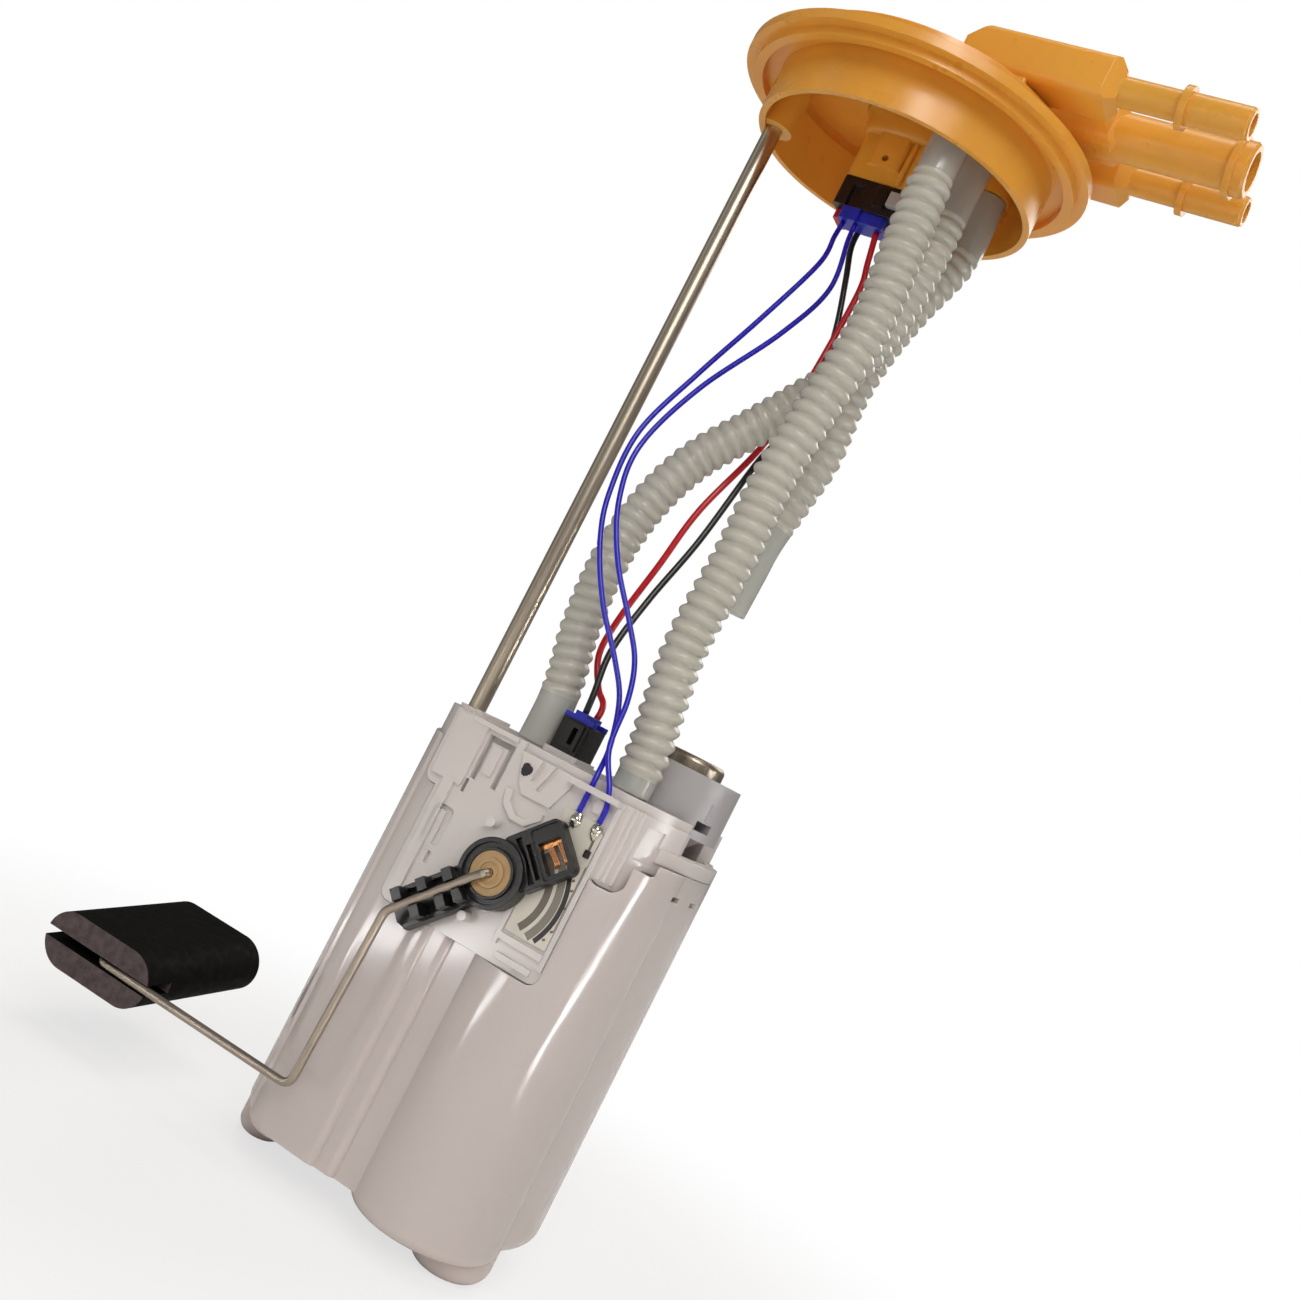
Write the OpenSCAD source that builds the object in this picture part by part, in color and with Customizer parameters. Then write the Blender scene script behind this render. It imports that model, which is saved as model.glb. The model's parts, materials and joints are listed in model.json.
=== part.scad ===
/* [Flange] */
// Outside diameter of the flange rim that sits on the tank
flange_d = 127; // [124:1:134]
// Thickness of the flange rim
rim_t = 3.2; // [2.6:0.2:4.5]
// Outside diameter of the neck that enters the tank opening
neck_d = 101; // [98:1:103]
// Depth of the neck below the seat face
neck_depth = 17; // [14:1:22]
// Wall of the neck
neck_wall = 2.4; // [1.8:0.2:3]
// Outside diameter of the locating ring under the rim
ring_od = 119; // [117:1:121]
// Inside diameter of the locating ring under the rim
ring_id = 112; // [109:1:114]
// Height of the locating ring
ring_h = 3; // [2:0.5:4]
// Outside diameter of the raised cap on top of the rim
cap_d = 107; // [105:1:112]
// Height of the raised cap above the seat face
cap_h = 10; // [8:1:12]
// Wall of the raised cap
cap_wall = 2.6; // [2:0.2:3.4]

/* [Fuel ports] */
// Distance between neighbouring fuel ports
port_pitch = 27; // [26:0.5:29]
// Place of the ports ahead of the flange axis
port_x = 25; // [22:1:27]
// Width of each duct on top of the flange
duct_w = 17; // [15:0.5:19]
// Height of each duct
duct_h = 15; // [13:0.5:17]
// Place of the ducts' outer end ahead of the flange axis
duct_end = 69; // [66:1:74]
// Height of the spigot axis above the seat face
spigot_z = 19; // [18:0.5:21]
// Outside diameter of the two small quick connect spigots
spigot_d = 9.5; // [7.9:0.1:10.5]
// Outside diameter of the large vapour spigot
vapour_d = 15.8; // [12.7:0.1:16.5]
// Length of the spigots outside the ducts
spigot_len = 41; // [36:1:48]
// Distance of the small spigots' bead from the duct
bead_at = 19; // [14:1:24]
// Outside diameter of the nipples that carry the hoses
nipple_d = 9.4; // [8:0.2:9.6]
// Depth of the nipples below the seat face
nipple_depth = 20; // [16:1:24]

/* [Rods] */
// Diameter of the two steel guide rods
rod_d = 6.35; // [5.5:0.05:7]
// Distance of each rod from the flange axis
rod_radius = 45.3; // [44.5:0.1:46]
// Angle of the left rod
rod_a_angle = 192; // [188:1:196]
// Angle of the rear rod
rod_b_angle = 98; // [94:1:102]
// Height of the rods' lower end above the feet at rest
rod_end_h = 108; // [100:1:112]
// Running clearance of the rods in their guides
rod_gap = 0.08; // [0.04:0.01:0.1]
// Wire diameter of the rod springs
spring_wire_d = 1.4; // [1:0.1:1.6]

/* [Reservoir] */
// Distance from the seat face down to the reservoir deck
deck_drop = 243; // [236:1:250]
// Height of the reservoir from its feet to the deck
reservoir_h = 157; // [154:1:164]
// Radius of the bucket
bucket_r = 52; // [51.5:0.1:53]
// Wall of the bucket
bucket_wall = 2; // [1.6:0.1:2.4]
// Height of the bucket's rim above the feet
rim_h = 147; // [145:1:148]
// Height of the bucket's underside above the feet
underside_h = 12; // [10:1:13]
// Radius of the cover's wall
cover_r = 50.8; // [50.4:0.1:51.2]
// Thickness of the cover's walls and deck
cover_wall = 2.4; // [2:0.1:2.6]
// Distance from the axis to the front of the sensor panel
panel_y = 39.7; // [39:0.1:40.4]
// Half the width of the sensor panel
panel_half = 33.4; // [33:0.1:34]
// Distance from the float arm's pivot down to the sensor panel's lower edge
panel_below = 24; // [23:0.5:28]

/* [Level sensor] */
// Place of the float arm's pivot to the right of the axis
pivot_x = 6.5; // [5:0.5:8]
// Height of the float arm's pivot above the feet
pivot_h = 117; // [115:0.5:119]
// Angle of the contact carrier at the empty stop
lever_angle = 46; // [44:1:48]
// Diameter of the float arm wire
arm_d = 2.8; // [2.4:0.1:3]
// Distance from the axis to the plane of the float arm
arm_y = 50.5; // [50:0.1:52]
// Width of the float
float_w = 44.5; // [40:0.5:50]
// Thickness of the float
float_t = 19.6; // [17:0.2:22]
// Length of the float
float_l = 60; // [50:1:70]

/* [Fuel pump] */
// Outside diameter of the pump's steel shell
pump_d = 38; // [37:0.5:39]
// Length of the pump's steel shell
shell_len = 92; // [88:1:94]
// Wall of the pump's steel shell
shell_wall = 1.2; // [1:0.1:1.6]
// Diameter of the armature
armature_d = 27; // [24:0.5:28]
// Number of poles of the armature
poles = 8; // [6:1:10]
// Number of blades on each side of the impeller
blades = 24; // [16:1:36]

/* [Regulator] */
// Place of the regulator to the right of the axis
reg_x = 31.4; // [31:0.1:32]
// Outside diameter of the regulator's plastic cup
cup_d = 36; // [34:0.5:36]
// Height of the regulator's plastic cup
cup_h = 19.5; // [17:0.5:22]
// Outside diameter of the regulator's steel can
can_d = 21; // [19:0.5:24]

/* [Hidden] */
$fn = 48;
eps = 0.01;
fit_gap = 0.1;
seat_gap = 0.3;

amber = [0.87, 0.58, 0.2];
steel = [0.62, 0.6, 0.57];
milky = [0.85, 0.82, 0.8];
white = [0.93, 0.92, 0.9];
grey = [0.72, 0.72, 0.73];
black = [0.1, 0.1, 0.11];
tan_brown = [0.72, 0.58, 0.38];
copper = [0.78, 0.48, 0.26];
blue = [0.15, 0.15, 0.8];
red = [0.75, 0.08, 0.12];

deck_z = -deck_drop;
base_z = deck_z - reservoir_h;
rim_z = base_z + rim_h;
under_z = base_z + underside_h;
floor_z = under_z + bucket_wall;
pivot_z = base_z + pivot_h;
panel_z = pivot_z - panel_below;
rod_end_z = base_z + rod_end_h;
rod_a = [rod_radius * cos(rod_a_angle), rod_radius * sin(rod_a_angle)];
rod_b = [rod_radius * cos(rod_b_angle), rod_radius * sin(rod_b_angle)];
rods = [rod_a, rod_b];
column_r = 8.4;
guide_r = 5.4;
retainer_t = 2;
retainer_r = 5;
spring_tube_r = 6.4;
spring_bore_r = retainer_r + 0.3;
neck_r = neck_d / 2;
ceiling_z = cap_h - cap_wall;
duct_z = spigot_z - duct_h / 2;
port_ys = [-port_pitch, 0, port_pitch];
deck_t = cover_wall;
shelf_x = 41;
shelf_top = rim_z - 4;
shelf_t = 2;
lip_r = bucket_r - bucket_wall - seat_gap;
pocket_r = cup_d / 2 + 1.2;
plug_at = [-6, 10.5];
plug_w = 24;
plug_deep = 15;
plug_top = -6;
plug_low = -29;
boss_low = -18;
feed_at = [27, -27];
return_at = [-15, -16.5];
pump_plug_at = [-1.8, -17];
hose_r = 7.2;
hose_in = 5.35;
wire_r = 0.9;
lead_r = 1.1;
pump_at = [-1, 9];
pump_r = pump_d / 2;
shell_in = pump_r - shell_wall;
shell_z = floor_z + 14;
shaft_r = 2;
volute_t = 9;
inlet_t = 6;
impeller_t = 3.6;
volute_z = shell_z + 1 + inlet_t;
magnet_z = shell_z + 22;
magnet_len = 46;
bell_z = shell_z + shell_len - 14;
bell_h = 20;
card_x = 16;
card_w = 15.2;
card_low = pivot_z - 13;
card_top = deck_z - 12;
card_h = card_top - card_low;
card_t = 0.8;
rail_t = 1.2;
lever_back = panel_y + 1.5;
lever_front = panel_y + 7.8;
hub_r = 11;
bushing_r = 7;
post_r = 4.4;
post_len = 7.2;
arm_r = arm_d / 2;
arm_bend = 4;
clip_reach = 35;
arm_drop = 60;
float_x = -103.6;
float_yaw = 3;
float_tilt = 8;
float_slit = 12;

// Rectangle with rounded corners, centred
module rounded(w, h, r) {
  square([w - 2 * r, h], center = true);
  square([w, h - 2 * r], center = true);
  for (sx = [-1, 1], sy = [-1, 1])
    translate([sx * (w / 2 - r), sy * (h / 2 - r)]) circle(r = r);
}

// Upright rounded block with its lowest face at z
module block(at, w, d, z, h, r = 1) {
  translate([at[0], at[1], z]) linear_extrude(h) rounded(w, d, r);
}

// Upright tube
module tube(at, ro, ri, z, h) {
  translate([at[0], at[1], z]) difference() {
    cylinder(h = h, r = ro);
    translate([0, 0, -1]) cylinder(h = h + 2, r = ri);
  }
}

// Draws an outline of the panel plane, x and z, as a plate from y = -back to y = -front
module on_panel(back, front) {
  translate([0, -back, 0]) rotate([90, 0, 0]) linear_extrude(front - back) children();
}

// Sweep of a round tube along points: rings of sides points, turned with the route
function unit(v) = v / norm(v);
function tangent(p, i) =
  i == 0 ? unit(p[1] - p[0]) :
  i == len(p) - 1 ? unit(p[i] - p[i - 1]) :
  unit(unit(p[i + 1] - p[i]) + unit(p[i] - p[i - 1]));
function across(t, ref) = unit(ref - (ref * t) * t);
function ring(p, i, r, sides, ref = [0, 1, 0.001]) =
  let (t = tangent(p, i), a = across(t, ref), b = cross(t, a))
  [for (k = [0:sides - 1]) p[i] + r * (cos(360 * k / sides) * a + sin(360 * k / sides) * b)];

// Catmull-Rom points between the route's own points
function mix(p0, p1, p2, p3, t) =
  0.5 * (2 * p1 + (p2 - p0) * t + (2 * p0 - 5 * p1 + 4 * p2 - p3) * t * t
  + (3 * p1 - p0 - 3 * p2 + p3) * t * t * t);
function smooth(p, n) = concat(
  [for (i = [0:len(p) - 2], k = [0:n - 1])
    mix(p[max(i - 1, 0)], p[i], p[i + 1], p[min(i + 2, len(p) - 1)], k / n)],
  [p[len(p) - 1]]);

module solid_tube(p, r, sides, ref = [0, 1, 0.001]) {
  n = len(p);
  pts = [for (i = [0:n - 1], q = ring(p, i, r, sides, ref)) q];
  walls = [for (i = [0:n - 2], k = [0:sides - 1])
    [i * sides + k, i * sides + (k + 1) % sides, (i + 1) * sides + (k + 1) % sides, (i + 1) * sides + k]];
  first = [[for (k = [0:sides - 1]) sides - 1 - k]];
  last = [[for (k = [0:sides - 1]) (n - 1) * sides + k]];
  polyhedron(pts, concat(walls, first, last));
}

module hollow_tube(p, ro, ri, sides) {
  n = len(p);
  m = n * sides;
  outer = [for (i = [0:n - 1], q = ring(p, i, ro, sides)) q];
  inner = [for (i = [0:n - 1], q = ring(p, i, ri, sides)) q];
  out_walls = [for (i = [0:n - 2], k = [0:sides - 1])
    [i * sides + k, i * sides + (k + 1) % sides, (i + 1) * sides + (k + 1) % sides, (i + 1) * sides + k]];
  in_walls = [for (i = [0:n - 2], k = [0:sides - 1])
    [m + i * sides + k, m + (i + 1) * sides + k, m + (i + 1) * sides + (k + 1) % sides,
      m + i * sides + (k + 1) % sides]];
  first = [for (k = [0:sides - 1]) [k, m + k, m + (k + 1) % sides, (k + 1) % sides]];
  e = (n - 1) * sides;
  last = [for (k = [0:sides - 1])
    [e + k, e + (k + 1) % sides, m + e + (k + 1) % sides, m + e + k]];
  polyhedron(concat(outer, inner), concat(out_walls, in_walls, first, last));
}

// Flange, neck, cap, ducts and spigots
module flange_profile() {
  translate([neck_r - neck_wall, -neck_depth]) square([neck_wall, neck_depth + eps]);
  translate([neck_r - neck_wall, 0]) square([flange_d / 2 - neck_r + neck_wall, rim_t]);
  translate([ring_id / 2, -ring_h]) square([(ring_od - ring_id) / 2, ring_h + eps]);
  translate([cap_d / 2 - cap_wall - 1, 0]) square([cap_wall + 1, cap_h]);
  translate([0, ceiling_z]) square([cap_d / 2, cap_wall]);
}

module spigot(y, d, len, bead, end_d) {
  translate([duct_end, y, spigot_z]) rotate([0, 90, 0]) {
    translate([0, 0, -8]) cylinder(h = len + 8, d = d);
    translate([0, 0, bead]) cylinder(h = 2.4, d = d + 4);
    translate([0, 0, bead]) cylinder(h = len - 1 - bead, d = end_d);
    translate([0, 0, len - 1]) cylinder(h = 1, d1 = end_d, d2 = end_d - 1.6);
  }
}

module duct(y) {
  difference() {
    translate([port_x - 8, y, spigot_z]) rotate([90, 0, 90])
      linear_extrude(duct_end - port_x + 8) rounded(duct_w, duct_h, 3);
    for (s = [-1, 1]) {
      translate([duct_end, y + s * duct_w / 2, spigot_z]) rotate([0, 0, 45])
        cube([6, 6, duct_h + 2], center = true);
      translate([duct_end, y, spigot_z + s * duct_h / 2]) rotate([0, 45, 0])
        cube([4, duct_w + 2, 4], center = true);
    }
    translate([port_x - 8, y, spigot_z + duct_h / 2]) rotate([0, 45, 0])
      cube([9, duct_w + 2, 9], center = true);
  }
  block([port_x + 4, y], 24, duct_w - 3, ceiling_z, spigot_z - ceiling_z);
}

module nipple(y) {
  translate([port_x, y, -nipple_depth]) {
    cylinder(h = nipple_depth + ceiling_z + eps, d = nipple_d);
    for (k = [0:2]) translate([0, 0, 1 + 4 * k]) cylinder(h = 2.4, d1 = nipple_d - 0.8, d2 = nipple_d + 0.5);
    translate([0, 0, nipple_depth - 1.5]) cylinder(h = ceiling_z + 1.5, d = nipple_d + 5);
  }
}

module flange() {
  color(amber) difference() {
    union() {
      rotate_extrude($fn = 96) flange_profile();
      for (y = port_ys) {
        duct(y);
        nipple(y);
      }
      spigot(-port_pitch, spigot_d, spigot_len, bead_at, spigot_d + 0.6);
      spigot(0, vapour_d, spigot_len, spigot_len - 6.4, vapour_d + 2);
      spigot(port_pitch, spigot_d, spigot_len - 2, bead_at - 2, spigot_d + 0.6);
      // Ear that holds a line clip, on the front duct
      translate([port_x + 21, -port_pitch, spigot_z + duct_h / 2 - eps]) linear_extrude(1.8) rounded(9, 5, 1);
      // Bosses that carry the rods, kept inside the neck
      intersection() {
        for (p = rods) translate([p[0], p[1], -neck_depth + 1]) cylinder(h = neck_depth + cap_h - 2, d = rod_d + 7);
        translate([0, 0, -neck_depth]) cylinder(h = neck_depth + cap_h, r = neck_r - 0.2, $fn = 96);
      }
      // Socket for the harness plug under the cap
      block(plug_at, plug_w, plug_deep, boss_low, ceiling_z - boss_low + eps, 2);
      block(plug_at, 12, plug_deep + 5, boss_low + 5, ceiling_z - boss_low - 5, 2);
      // Socket for the vehicle harness on top
      block(plug_at, 30, 19, ceiling_z, 24, 3);
      for (s = [-1, 1]) block([plug_at[0] + s * 15.2, plug_at[1]], 2, 8, cap_h, 8, 0.8);
      // Ribs between the ducts
      for (y = [-port_pitch / 2, port_pitch / 2]) translate([port_x - 4, y - 1, cap_h - eps])
        cube([24, 2, 6]);
      for (s = [-1, 1]) translate([port_x, s * port_pitch / 2, spigot_z])
        cube([3, port_pitch - duct_w + 2, 8], center = true);
    }
    // Fuel ways through spigots, ducts and nipples
    for (y = port_ys) {
      d = y == 0 ? vapour_d - 3.4 : spigot_d - 2.6;
      translate([port_x, y, spigot_z]) rotate([0, 90, 0]) cylinder(h = 120, d = d);
      translate([port_x, y, -nipple_depth - 1]) cylinder(h = spigot_z + nipple_depth + 1, d = nipple_d - 2.8);
    }
    for (p = rods) translate([p[0], p[1], -neck_depth]) cylinder(h = neck_depth + 4, d = rod_d + 0.06);
    block(plug_at, plug_w - 3.6, plug_deep - 3.6, boss_low - 1, plug_top - boss_low + 1.5, 1.2);
    translate([plug_at[0], plug_at[1] - plug_deep / 2, boss_low + 8]) rotate([90, 0, 0])
      cylinder(h = 12, d = 2.4, center = true);
    block(plug_at, 26, 15, cap_h + 2, 30, 2);
    for (k = [0:3]) translate([plug_at[0] + (k - 1.5) * 5.2, plug_at[1], 0])
      cube([2.7, 0.9, 60], center = true);
  }
}

module flange_terminals() {
  color(steel) for (k = [0:3]) translate([plug_at[0] + (k - 1.5) * 5.2, plug_at[1], plug_top - 9 + 17.5])
    cube([2.5, 0.7, 35], center = true);
}

// Steel guide rods and their retaining rings
module guide_rod(p) {
  color(steel) translate([p[0], p[1], rod_end_z]) difference() {
    union() {
      translate([0, 0, 0.6]) cylinder(h = -rod_end_z + 3, d = rod_d);
      cylinder(h = 0.6, d1 = rod_d - 1.2, d2 = rod_d);
    }
    difference() {
      translate([0, 0, retainer_t]) cylinder(h = 1.2, d = rod_d + 1);
      translate([0, 0, retainer_t - 1]) cylinder(h = 3.2, d = rod_d - 1.4);
    }
  }
}
module guide_rod_left() { guide_rod(rod_a); }
module guide_rod_rear() { guide_rod(rod_b); }

module rod_retainers() {
  color(steel) for (p = rods) translate([p[0], p[1], rod_end_z + retainer_t + 0.1]) difference() {
    cylinder(h = 1, r = retainer_r);
    translate([0, 0, -1]) cylinder(h = 3, d = rod_d - 1.2);
    translate([0, -1.3, -1]) cube([retainer_r + 1, 2.6, 3]);
  }
}

// Plug of the inner harness under the flange
module harness_plug() {
  w = plug_w - 4.2;
  d = plug_deep - 4.2;
  color(black) difference() {
    union() {
      block(plug_at, w, d, plug_low + 5, plug_top - plug_low - 5, 1);
      block(plug_at, plug_w, plug_deep, plug_low, boss_low - plug_low - seat_gap, 1.5);
      block([plug_at[0] + 4.5, plug_at[1] - plug_deep / 2], 5, 3, plug_low + 2, 8, 0.8);
    }
    for (k = [0:3]) translate([plug_at[0] + (k - 1.5) * 5.2, plug_at[1], plug_top - 7])
      cube([2.9, 1.1, 20], center = true);
    block([plug_at[0] - 5, plug_at[1] - plug_deep / 2], 4, 3, plug_low - 1, 9, 0.8);
  }
}
module harness_plug_lock() {
  color(blue) difference() {
    union() {
      block([plug_at[0], plug_at[1] - 1], 17, 10, plug_low - 4, 4, 1.5);
      block([plug_at[0] - 4, plug_at[1] - 5], 7, 5, plug_low - 4.6, 4.6, 1);
    }
    translate([-9, 15.5, plug_low - 10]) cylinder(h = 20, d = 3);
  }
}
module harness_wire_seal() {
  color(red) block([plug_at[0] - 10.2, plug_at[1] + 2], 3, 9, plug_low - 3.2, 3.2, 1);
}
module harness_latch_pin() {
  color(grey) block([plug_at[0] + 10, plug_at[1] - plug_deep / 2 - 1.6], 4.4, 3, plug_low + 3, 5, 0.6);
}

// Routes of hoses and wires, from the flange down
feed_route = [[port_x, -port_pitch, -2], [port_x, -port_pitch, -26], [27, -28, -50], [29, -28, -78],
  [26, -28.5, -106], [23.5, -29, -135], [24, -29.5, -162], [22.5, -29, -192], [24.5, -28.5, -212],
  [feed_at[0] - 0.5, feed_at[1], -228], [feed_at[0], feed_at[1], deck_z + seat_gap]];
return_route = [[port_x, 0, -2], [port_x, 0, -26], [25, 0, -48], [23, -1, -68], [18, -2.5, -87],
  [9, -6, -103], [0, -10, -118], [-10, -14, -134], [-16, -17, -150], [-19.5, -18.5, -168],
  [-20, -19, -185], [-18.5, -18.5, -203], [-16, -17.5, -217],
  [return_at[0], return_at[1], -228], [return_at[0], return_at[1], deck_z + seat_gap]];
vent_route = [[port_x, port_pitch, -2], [port_x, port_pitch, -26], [19.5, 22.5, -50], [16, 19.5, -70],
  [14.5, 19, -88], [15.5, 19.5, -111], [13.5, 18.5, -128], [11, 18, -146], [10.5, 18, -159],
  [10, 18, -173]];
blue_left_route = [[-12, 6.5, -33.8], [-12, 5.5, -40], [-10.5, 1, -53], [-15, -11, -82], [-19.5, -24, -110],
  [-23.5, -35, -137.5], [-21.5, -38, -160], [-16, -39, -176], [-6, -38, -193], [6, -35.5, -208],
  [13, -34.5, -218.5], [18, -36, -232.5], [20.6, -40.6, -242], [21, -41.4, -249], [21, -41.4, -254.6]];
blue_right_route = [[-7, 5.5, -33.8], [-6.5, 5, -40], [-3, 2, -60], [-6.5, -9.5, -84], [-15.5, -26.5, -115.5],
  [-19.5, -37.5, -142.5], [-16, -40, -162], [-7, -39.5, -179.5], [5, -37.5, -195], [12.5, -36.5, -205.5],
  [17, -37.5, -217.5], [19.8, -40, -233], [26.5, -41.4, -244], [28.6, -41.4, -250], [28.6, -41.4, -254.6]];
red_route = [[0, 9, -33.2], [2, 9.6, -44], [3.5, 10.5, -54], [3, 10, -76], [2.5, 7.5, -96.5], [0, 3.5, -120],
  [-5.5, -5.5, -149], [-8.5, -8, -172], [-12.5, -8.5, -194], [-13.5, -7.5, -207], [-8, -8, -217],
  [-2.5, -11, -221], [-0.5, -13.5, -224], [-0.5, -14, -226.8]];
black_route = [[-9, 15.5, -29.2], [-9, 15.5, -38], [-5, 15, -50], [0, 15.5, -68], [3, 15.5, -87],
  [2.5, 13.5, -107.5], [-0.5, 8.5, -122.5], [-2.5, -1, -157.5], [-5, -10, -183.5], [-6, -16, -204.5],
  [-3.2, -18.8, -220], [-2.6, -19, -226.8]];

module hose_feed() { color(milky) hollow_tube(smooth(feed_route, 3), hose_r, hose_in, 12); }
module hose_return() { color(milky) hollow_tube(smooth(return_route, 2), hose_r - 0.6, hose_in, 12); }
module hose_vent() { color(milky) hollow_tube(smooth(vent_route, 3), hose_r - 0.6, hose_in, 12); }
module wire_blue_left() { color(blue) solid_tube(smooth(blue_left_route, 3), wire_r, 8); }
module wire_blue_right() { color(blue) solid_tube(smooth(blue_right_route, 3), wire_r, 8); }
module wire_red() { color(red) solid_tube(smooth(red_route, 3), lead_r, 8); }
module wire_black() { color(black) solid_tube(smooth(black_route, 3), lead_r, 8); }

// One upright lobe of the bucket: a column with a rounded foot
module lobe(p, r, z, top, foot) {
  translate([p[0], p[1], 0]) rotate_extrude($fn = 72) {
    translate([0, z + foot]) square([r, top - z - foot]);
    translate([0, z]) square([r - foot, foot + eps]);
    intersection() {
      translate([r - foot, z + foot]) circle(r = foot);
      translate([0, z - 1]) square([r + 1, foot + 2]);
    }
  }
}

right_column = [25.5, -16.5];
right_column_r = 25.5;
right_drop = 4;
wall_gap = 0.2;
low_rim_z = rim_z - 5;
low_rim_h = 4.4;
right_tab_x = 42.6;
right_wall_x = 47.4;
right_tab_h = 28.4;
panel_step = 28.6;
shoulder_h = 25;
left_column = [-28, -28.5];
left_column_r = 11;
front_to = -6;
front_step = 7;
edge_r = 3;
recess_y = 36;
foot_at = [36.5, -12];
foot_r = 13.6;

// Filled shape of the bucket, drawn smaller by inset for its inside
module bucket_form(inset, top) {
  z = under_z + inset;
  intersection() {
    lobe([0, 0], bucket_r - inset, z, top, 6 - inset / 2);
    translate([-80, -recess_y + inset, base_z - 1]) cube([160, 160, reservoir_h + 10]);
  }
  lobe(right_column, right_column_r - inset, z - right_drop, top, 5 - inset / 2);
  lobe(left_column, left_column_r - inset, z - 2, top, 5 - inset / 2);
  front_bay(left_column[1] - left_column_r + inset, front_to - inset, inset, z, top);
  front_bay(left_column[1] - left_column_r + 1.6 + inset, front_to + front_step - inset, inset, z, top);
  for (p = rods) lobe(p, column_r - inset, base_z + inset, top, 5 - inset / 2);
}

// Flat bay of the front wall, from the left column to x = to, with a rounded edge
module front_bay(y, to, inset, z, top) {
  r = edge_r - inset / 2;
  translate([left_column[0], y, z]) cube([to - r - left_column[0], 26, top - z]);
  translate([left_column[0], y + r, z]) cube([to - left_column[0], 26 - r, top - z]);
  translate([to - r, y + r, z]) cylinder(h = top - z, r = r);
}

module reservoir_bucket() {
  color(milky) difference() {
    union() {
      difference() {
        bucket_form(0, rim_z);
        bucket_form(bucket_wall, rim_z + 1);
      }
      // Tubes that hold the rod springs
      for (p = rods) {
        tube(p, spring_tube_r, spring_bore_r, base_z + 4, rod_end_z + retainer_t + 1 - base_z - 4);
        translate([p[0], p[1], base_z + 1]) cylinder(h = floor_z - base_z - 1, r = spring_tube_r);
      }
      // Feet
      lobe(foot_at, foot_r, base_z, under_z + 2, 7);
      // Ring that locates the pump's isolator
      tube(pump_at, pump_r - 4, pump_r - 6, floor_z - eps, 3);
    }
    // Openings for the sensor panel and for the cover's right wall, and the lower rim at the right
    translate([0, -30, 0]) rotate([90, 0, 0]) linear_extrude(30) panel_plan(wall_gap, 60);
    translate([0, -16, 0]) rotate([90, 0, 0]) linear_extrude(50) right_plan(wall_gap, 60);
    translate([right_tab_x + 0.2, -60, low_rim_z - wall_gap]) cube([40, 100, 30]);
    // Fuel inlet under the first fill valve
    translate([pump_at[0] - 27, pump_at[1], under_z - 1]) for (a = [0:60:300]) rotate(a)
      translate([3.4, 0, 0]) cylinder(h = 5, d = 2);
    translate([pump_at[0] - 27, pump_at[1], under_z - 1]) cylinder(h = 5, d = 2.2);
    // Hollow of the front foot, open to the inside
    translate([foot_at[0], foot_at[1], base_z + 4]) cylinder(h = 20, r = foot_r - 4);
    // Slots in the right part of the rim
    for (a = [-14, 2]) rotate(a) translate([bucket_r - 4, -3, low_rim_z - 9]) cube([8, 6, 1.6]);
  }
}

// Upright plate from x0 to x1 and z0 to z1 above the feet, with rounded corners
module plate(x0, x1, z0, z1, r) {
  translate([(x0 + x1) / 2, base_z + (z0 + z1) / 2]) rounded(x1 - x0, z1 - z0, r);
}

// Face of the sensor panel, larger by grow at its sides and by up at its top
module panel_plan(grow, up) {
  translate([0, -base_z]) {
    plate(-panel_step - grow, panel_half + grow, panel_z - grow, deck_z + up, 3.6);
    plate(-panel_half - grow, panel_half + grow, deck_z - shoulder_h - grow, deck_z + up, 3.8);
  }
}

// Face of the cover's right wall, seen from the front
module right_plan(grow, up) {
  translate([0, -base_z]) {
    plate(panel_half - 1.2, right_tab_x + grow, deck_z - right_tab_h - grow, deck_z + up, 3.8);
    plate(panel_half - 1.2, right_wall_x + grow, low_rim_z - 4 - grow, deck_z + up, 1);
  }
}

// Plan of the deck, smaller by inset
module deck_plan(inset) {
  difference() {
    intersection() {
      union() {
        circle(r = cover_r - inset, $fn = 96);
        for (p = rods) translate(p) circle(r = column_r - 0.8 - inset);
      }
      translate([-80, -panel_y + inset]) square([80 + shelf_x - inset, 160]);
    }
    translate([reg_x, 0]) circle(r = pocket_r + inset);
  }
}

module lip_plan(inset) {
  intersection() {
    union() {
      circle(r = lip_r - inset, $fn = 96);
      for (p = rods) translate(p) circle(r = column_r - bucket_wall - seat_gap - inset);
    }
    translate([-80, -30 + inset]) square([160, 160]);
  }
}

module bar(x0, x1, z0, z1) {
  translate([x0, base_z + z0]) square([x1 - x0, z1 - z0]);
}

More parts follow.
